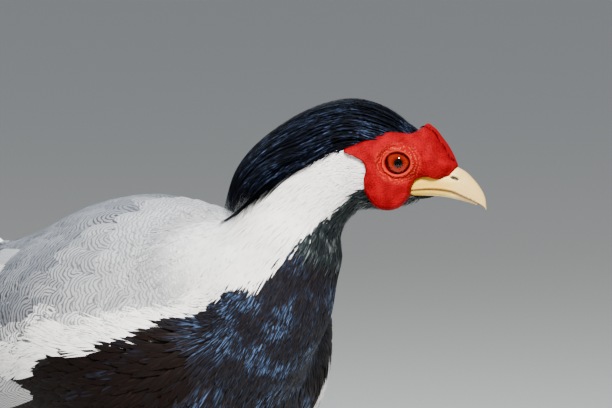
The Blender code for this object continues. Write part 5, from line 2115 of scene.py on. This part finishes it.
def knuckle(side):
    rows, around = 60, 60
    down = np.linspace(0.02, math.pi - 0.02, rows)[:, None]
    turn = np.linspace(-math.pi, math.pi, around, endpoint=False)
    net = cells(np.stack([down * 6 + 0 * turn, np.sin(down) * turn * 6], -1).reshape(-1, 2), 2.2)
    relief = 0.2 * (0.6 - 1.6 * ramp(net, SCALE_LOW, SCALE_HIGH)).reshape(rows, around)
    reach = 1 + relief / 6
    x = ANKLE[0] + 6.5 * np.sin(down) * np.cos(turn) * reach
    y = side * ANKLE[1] + 6.1 * np.sin(down) * np.sin(turn) * reach
    z = ANKLE[2] + 1 + 6.3 * np.cos(down) * reach
    return np.stack([x, y, z], -1), relief


print("middle toe:", toe(1, 1)[0].shape, "points")

# %% [markdown]
# ## The red of the legs
# Plates are bright red and the grooves between them dark. The height of the relief is stored on the points,
# so the colour follows the scales exactly.


# %% Legs
def leg_material():
    n = Nodes("leg scales")
    spots = n.noise(260, 3, n.place())
    plate = n.mix(spots, (0.42, 0.018, 0.014, 1), (0.58, 0.045, 0.030, 1))
    colour = n.mix(n.smooth(n.value("high"), 0.2, -0.8), plate, (0.16, 0.006, 0.006, 1))
    n.set(Base_Color=colour, Roughness=0.42, Specular_IOR_Level=0.45)
    n.bump(n.noise(1800, 3, n.place()), 0.0001, 0.6)
    return n.material


LEG_SCALES = leg_material()


def leg_piece(name, grids, node):
    """Several capped tubes in one mesh."""
    points, faces, values = [], [], []
    for grid, relief in grids:
        p, f, v = lofted(grid, {"high": relief / PLATE_HEIGHT})
        faces.append(f + sum(len(a) for a in points))
        points.append(p)
        values.append(v["high"])
    points = np.vstack(points)
    uv = np.stack([points[:, 0] / 200 + points[:, 1] / 300 + 0.5, points[:, 2] / 200], -1)
    high = np.concatenate(values)
    made = new_mesh(name, from_body(points), np.vstack(faces), {"OFBake": uv}, {"high": high})
    return wear(made, LEG_SCALES, "leg_skin", node)


print(LEG_SCALES.name, len(LEG_SCALES.node_tree.nodes), "nodes")

# %% [markdown]
# ## Claws and spurs
# Both are smooth cones of horn that curve: claws down to the floor, spurs up. The horn is dark at its base
# and pale at its worn tip. A claw starts inside its toe, so that no gap opens between them.


# %% Claws, spurs and both legs
def horn(base, way, up, length, radius, bend):
    """A cone that curves towards up."""
    rows, around = 40, 32
    t = np.linspace(0, 1, rows)[:, None, None]
    side_way = unit(np.cross(way, up))
    middle = base + way * length * t + up * bend * length * t * t
    along = unit(way + up * 2 * bend * t)
    over = np.cross(side_way, along)
    turn = np.linspace(0, math.tau, around, endpoint=False)[None, :, None]
    reach = radius * (1 - t) ** 0.7 + 0.12
    return middle + side_way * reach * 0.8 * np.cos(turn) + over * reach * np.sin(turn)


def horn_material():
    n = Nodes("claw horn")
    grain = n.noise(500, 3, n.place())
    colour = n.mix(n.value("along"), (0.20, 0.13, 0.09, 1), (0.46, 0.36, 0.25, 1))
    colour = n.mix(n.times(grain, 0.5), colour, (0.10, 0.07, 0.05, 1))
    n.set(Base_Color=colour, Roughness=0.32)
    n.bump(grain, 0.0001, 0.5)
    return n.material


CLAW_HORN = horn_material()


def horn_piece(name, grid, node):
    along = np.repeat(np.linspace(0, 1, len(grid))[:, None], grid.shape[1], 1)
    points, faces, values = lofted(grid, {"along": along})
    uv = points[:, [0, 2]] / 60 + 0.5
    made = new_mesh(name, from_body(points), faces, {"OFBake": uv}, values)
    return wear(made, CLAW_HORN, "claw_horn", node)


CLAW_HIDDEN = 2.5  # how much of a claw is inside its toe
for side, name in SIDES:
    leg_piece("shank_scales_" + name, [shank(side)], "shank_" + name)
    leg_piece("foot_scales_" + name, [toe(side, k) for k in range(4)] + [knuckle(side)], "foot_" + name)
    for index, label in enumerate(("inner", "middle", "outer", "hind")):
        angle, length, claw = TOES[index]
        a = math.radians(angle) * side
        way = np.array([math.cos(a), math.sin(a), 0])
        base = np.array([ANKLE[0], side * ANKLE[1], 2.75]) + way * (length - CLAW_HIDDEN)
        grid = horn(base, way, np.array([0, 0, -1.0]), claw + CLAW_HIDDEN, 1.95, 0.13)
        horn_piece(f"claw_horn_{name}_{label}", grid, f"claw_{name}_{label}")
    way = unit(np.array([-0.8, -side * 0.5, 0.18]))
    grid = horn(np.array([-20.5, side * 40.5, 50]), way, UP, 19, 3.1, 0.2)
    horn_piece("spur_horn_" + name, grid, "spur_" + name)
print("meshes now, with the solids:", len(bpy.data.meshes))

# %% [markdown]
# ## The camera
# A long lens from the bird's right front, a little above it, frames the head as the photo does. The aim is
# given from the near eye, because the eye is the one place that is sure in the photo.

# %% Camera
AZIMUTH, ELEVATION, DISTANCE = math.radians(62), math.radians(5), 3000.0
FRAME_WIDTH = 291.4  # millimetres across the picture at the eye
AIM = (-43.6, -19.2)  # the picture's middle, right of and above the near eye
SENSOR = 36
LEVEL = math.cos(ELEVATION)
BACK = np.array([math.sin(AZIMUTH) * LEVEL, -math.cos(AZIMUTH) * LEVEL, math.sin(ELEVATION)])
RIGHT = np.array([math.cos(AZIMUTH), math.sin(AZIMUTH), 0])


def place_camera():
    near_eye = node_centre("eye_right") - HEAD_LEFT * EYE_RADIUS
    aim = near_eye + RIGHT * AIM[0] + np.cross(BACK, RIGHT) * AIM[1]
    camera = bpy.data.objects.new("camera", bpy.data.cameras.new("camera"))
    camera.location = Vector((aim + BACK * DISTANCE) * MM)
    camera.rotation_euler = Vector(BACK).to_track_quat("Z", "Y").to_euler()
    camera.data.sensor_width = SENSOR
    camera.data.lens = SENSOR * DISTANCE / FRAME_WIDTH
    camera.data.clip_end = 20
    bpy.context.scene.collection.objects.link(camera)
    bpy.context.scene.camera = camera
    print("lens:", round(camera.data.lens), "mm")


place_camera()

# %% [markdown]
# ## Lamps and sky
# A soft key stands for the sun behind thin cloud. It shines from the camera's side, high up. A cool lamp
# from the far side draws the rim of the crest, and a pale sky fills the shadows. Both lamps are round,
# which gives the eye a round highlight.

# %% Lamps and sky
LAMP_DISTANCE = 1600
# Name, way from the head, size, power, colour
LAMPS = (
    ("key", BACK * 0.85 + UP * 0.62 + RIGHT * 0.04, 0.45, 106, (1.0, 0.96, 0.90)),
    ("rim", -BACK * 1.2 - RIGHT * 0.6 + UP * 1.3, 1.2, 24, (0.78, 0.88, 1.0)),
)


def place_lamp(name, way, size, energy, colour):
    lamp = bpy.data.lights.new(name, "AREA")
    lamp.size = size
    lamp.energy = energy
    lamp.shape = "DISK"
    lamp.color = colour
    made = bpy.data.objects.new(name, lamp)
    made.location = Vector((node_centre("head") + unit(way) * LAMP_DISTANCE) * MM)
    made.rotation_euler = Vector(unit(way)).to_track_quat("Z", "Y").to_euler()
    bpy.context.scene.collection.objects.link(made)


for lamp_row in LAMPS:
    place_lamp(*lamp_row)
world = bpy.data.worlds.new("sky")
world.use_nodes = True
world.node_tree.nodes["Background"].inputs[0].default_value = (0.66, 0.72, 0.80, 1)
world.node_tree.nodes["Background"].inputs[1].default_value = 0.5
bpy.context.scene.world = world
print("lamps:", len(LAMPS))

# %% [markdown]
# ## The floor
# A wide matt floor takes the bird's shadow. It belongs to the stage, so it isn't part of the bird.

# %% Floor
FLOOR_HALF = 40000


def place_floor():
    size = FLOOR_HALF
    corners = np.array([(-size, -size, 0), (size, -size, 0), (size, size, 0), (-size, size, 0)], float)
    floor = new_mesh("floor", corners, np.array([[0, 1, 2, 3]]))
    n = Nodes("floor")
    n.set(Base_Color=n.mix(n.noise(3, 3), (0.56, 0.55, 0.52, 1), (0.62, 0.61, 0.58, 1)), Roughness=0.9)
    floor.data.materials.append(n.material)
    print("floor:", 2 * size / 1000, "m wide")


place_floor()

# %% [markdown]
# ## Sizes
# The box of all pieces should agree with the box of the solids to a few millimetres, because the feathers
# end where the solids do.
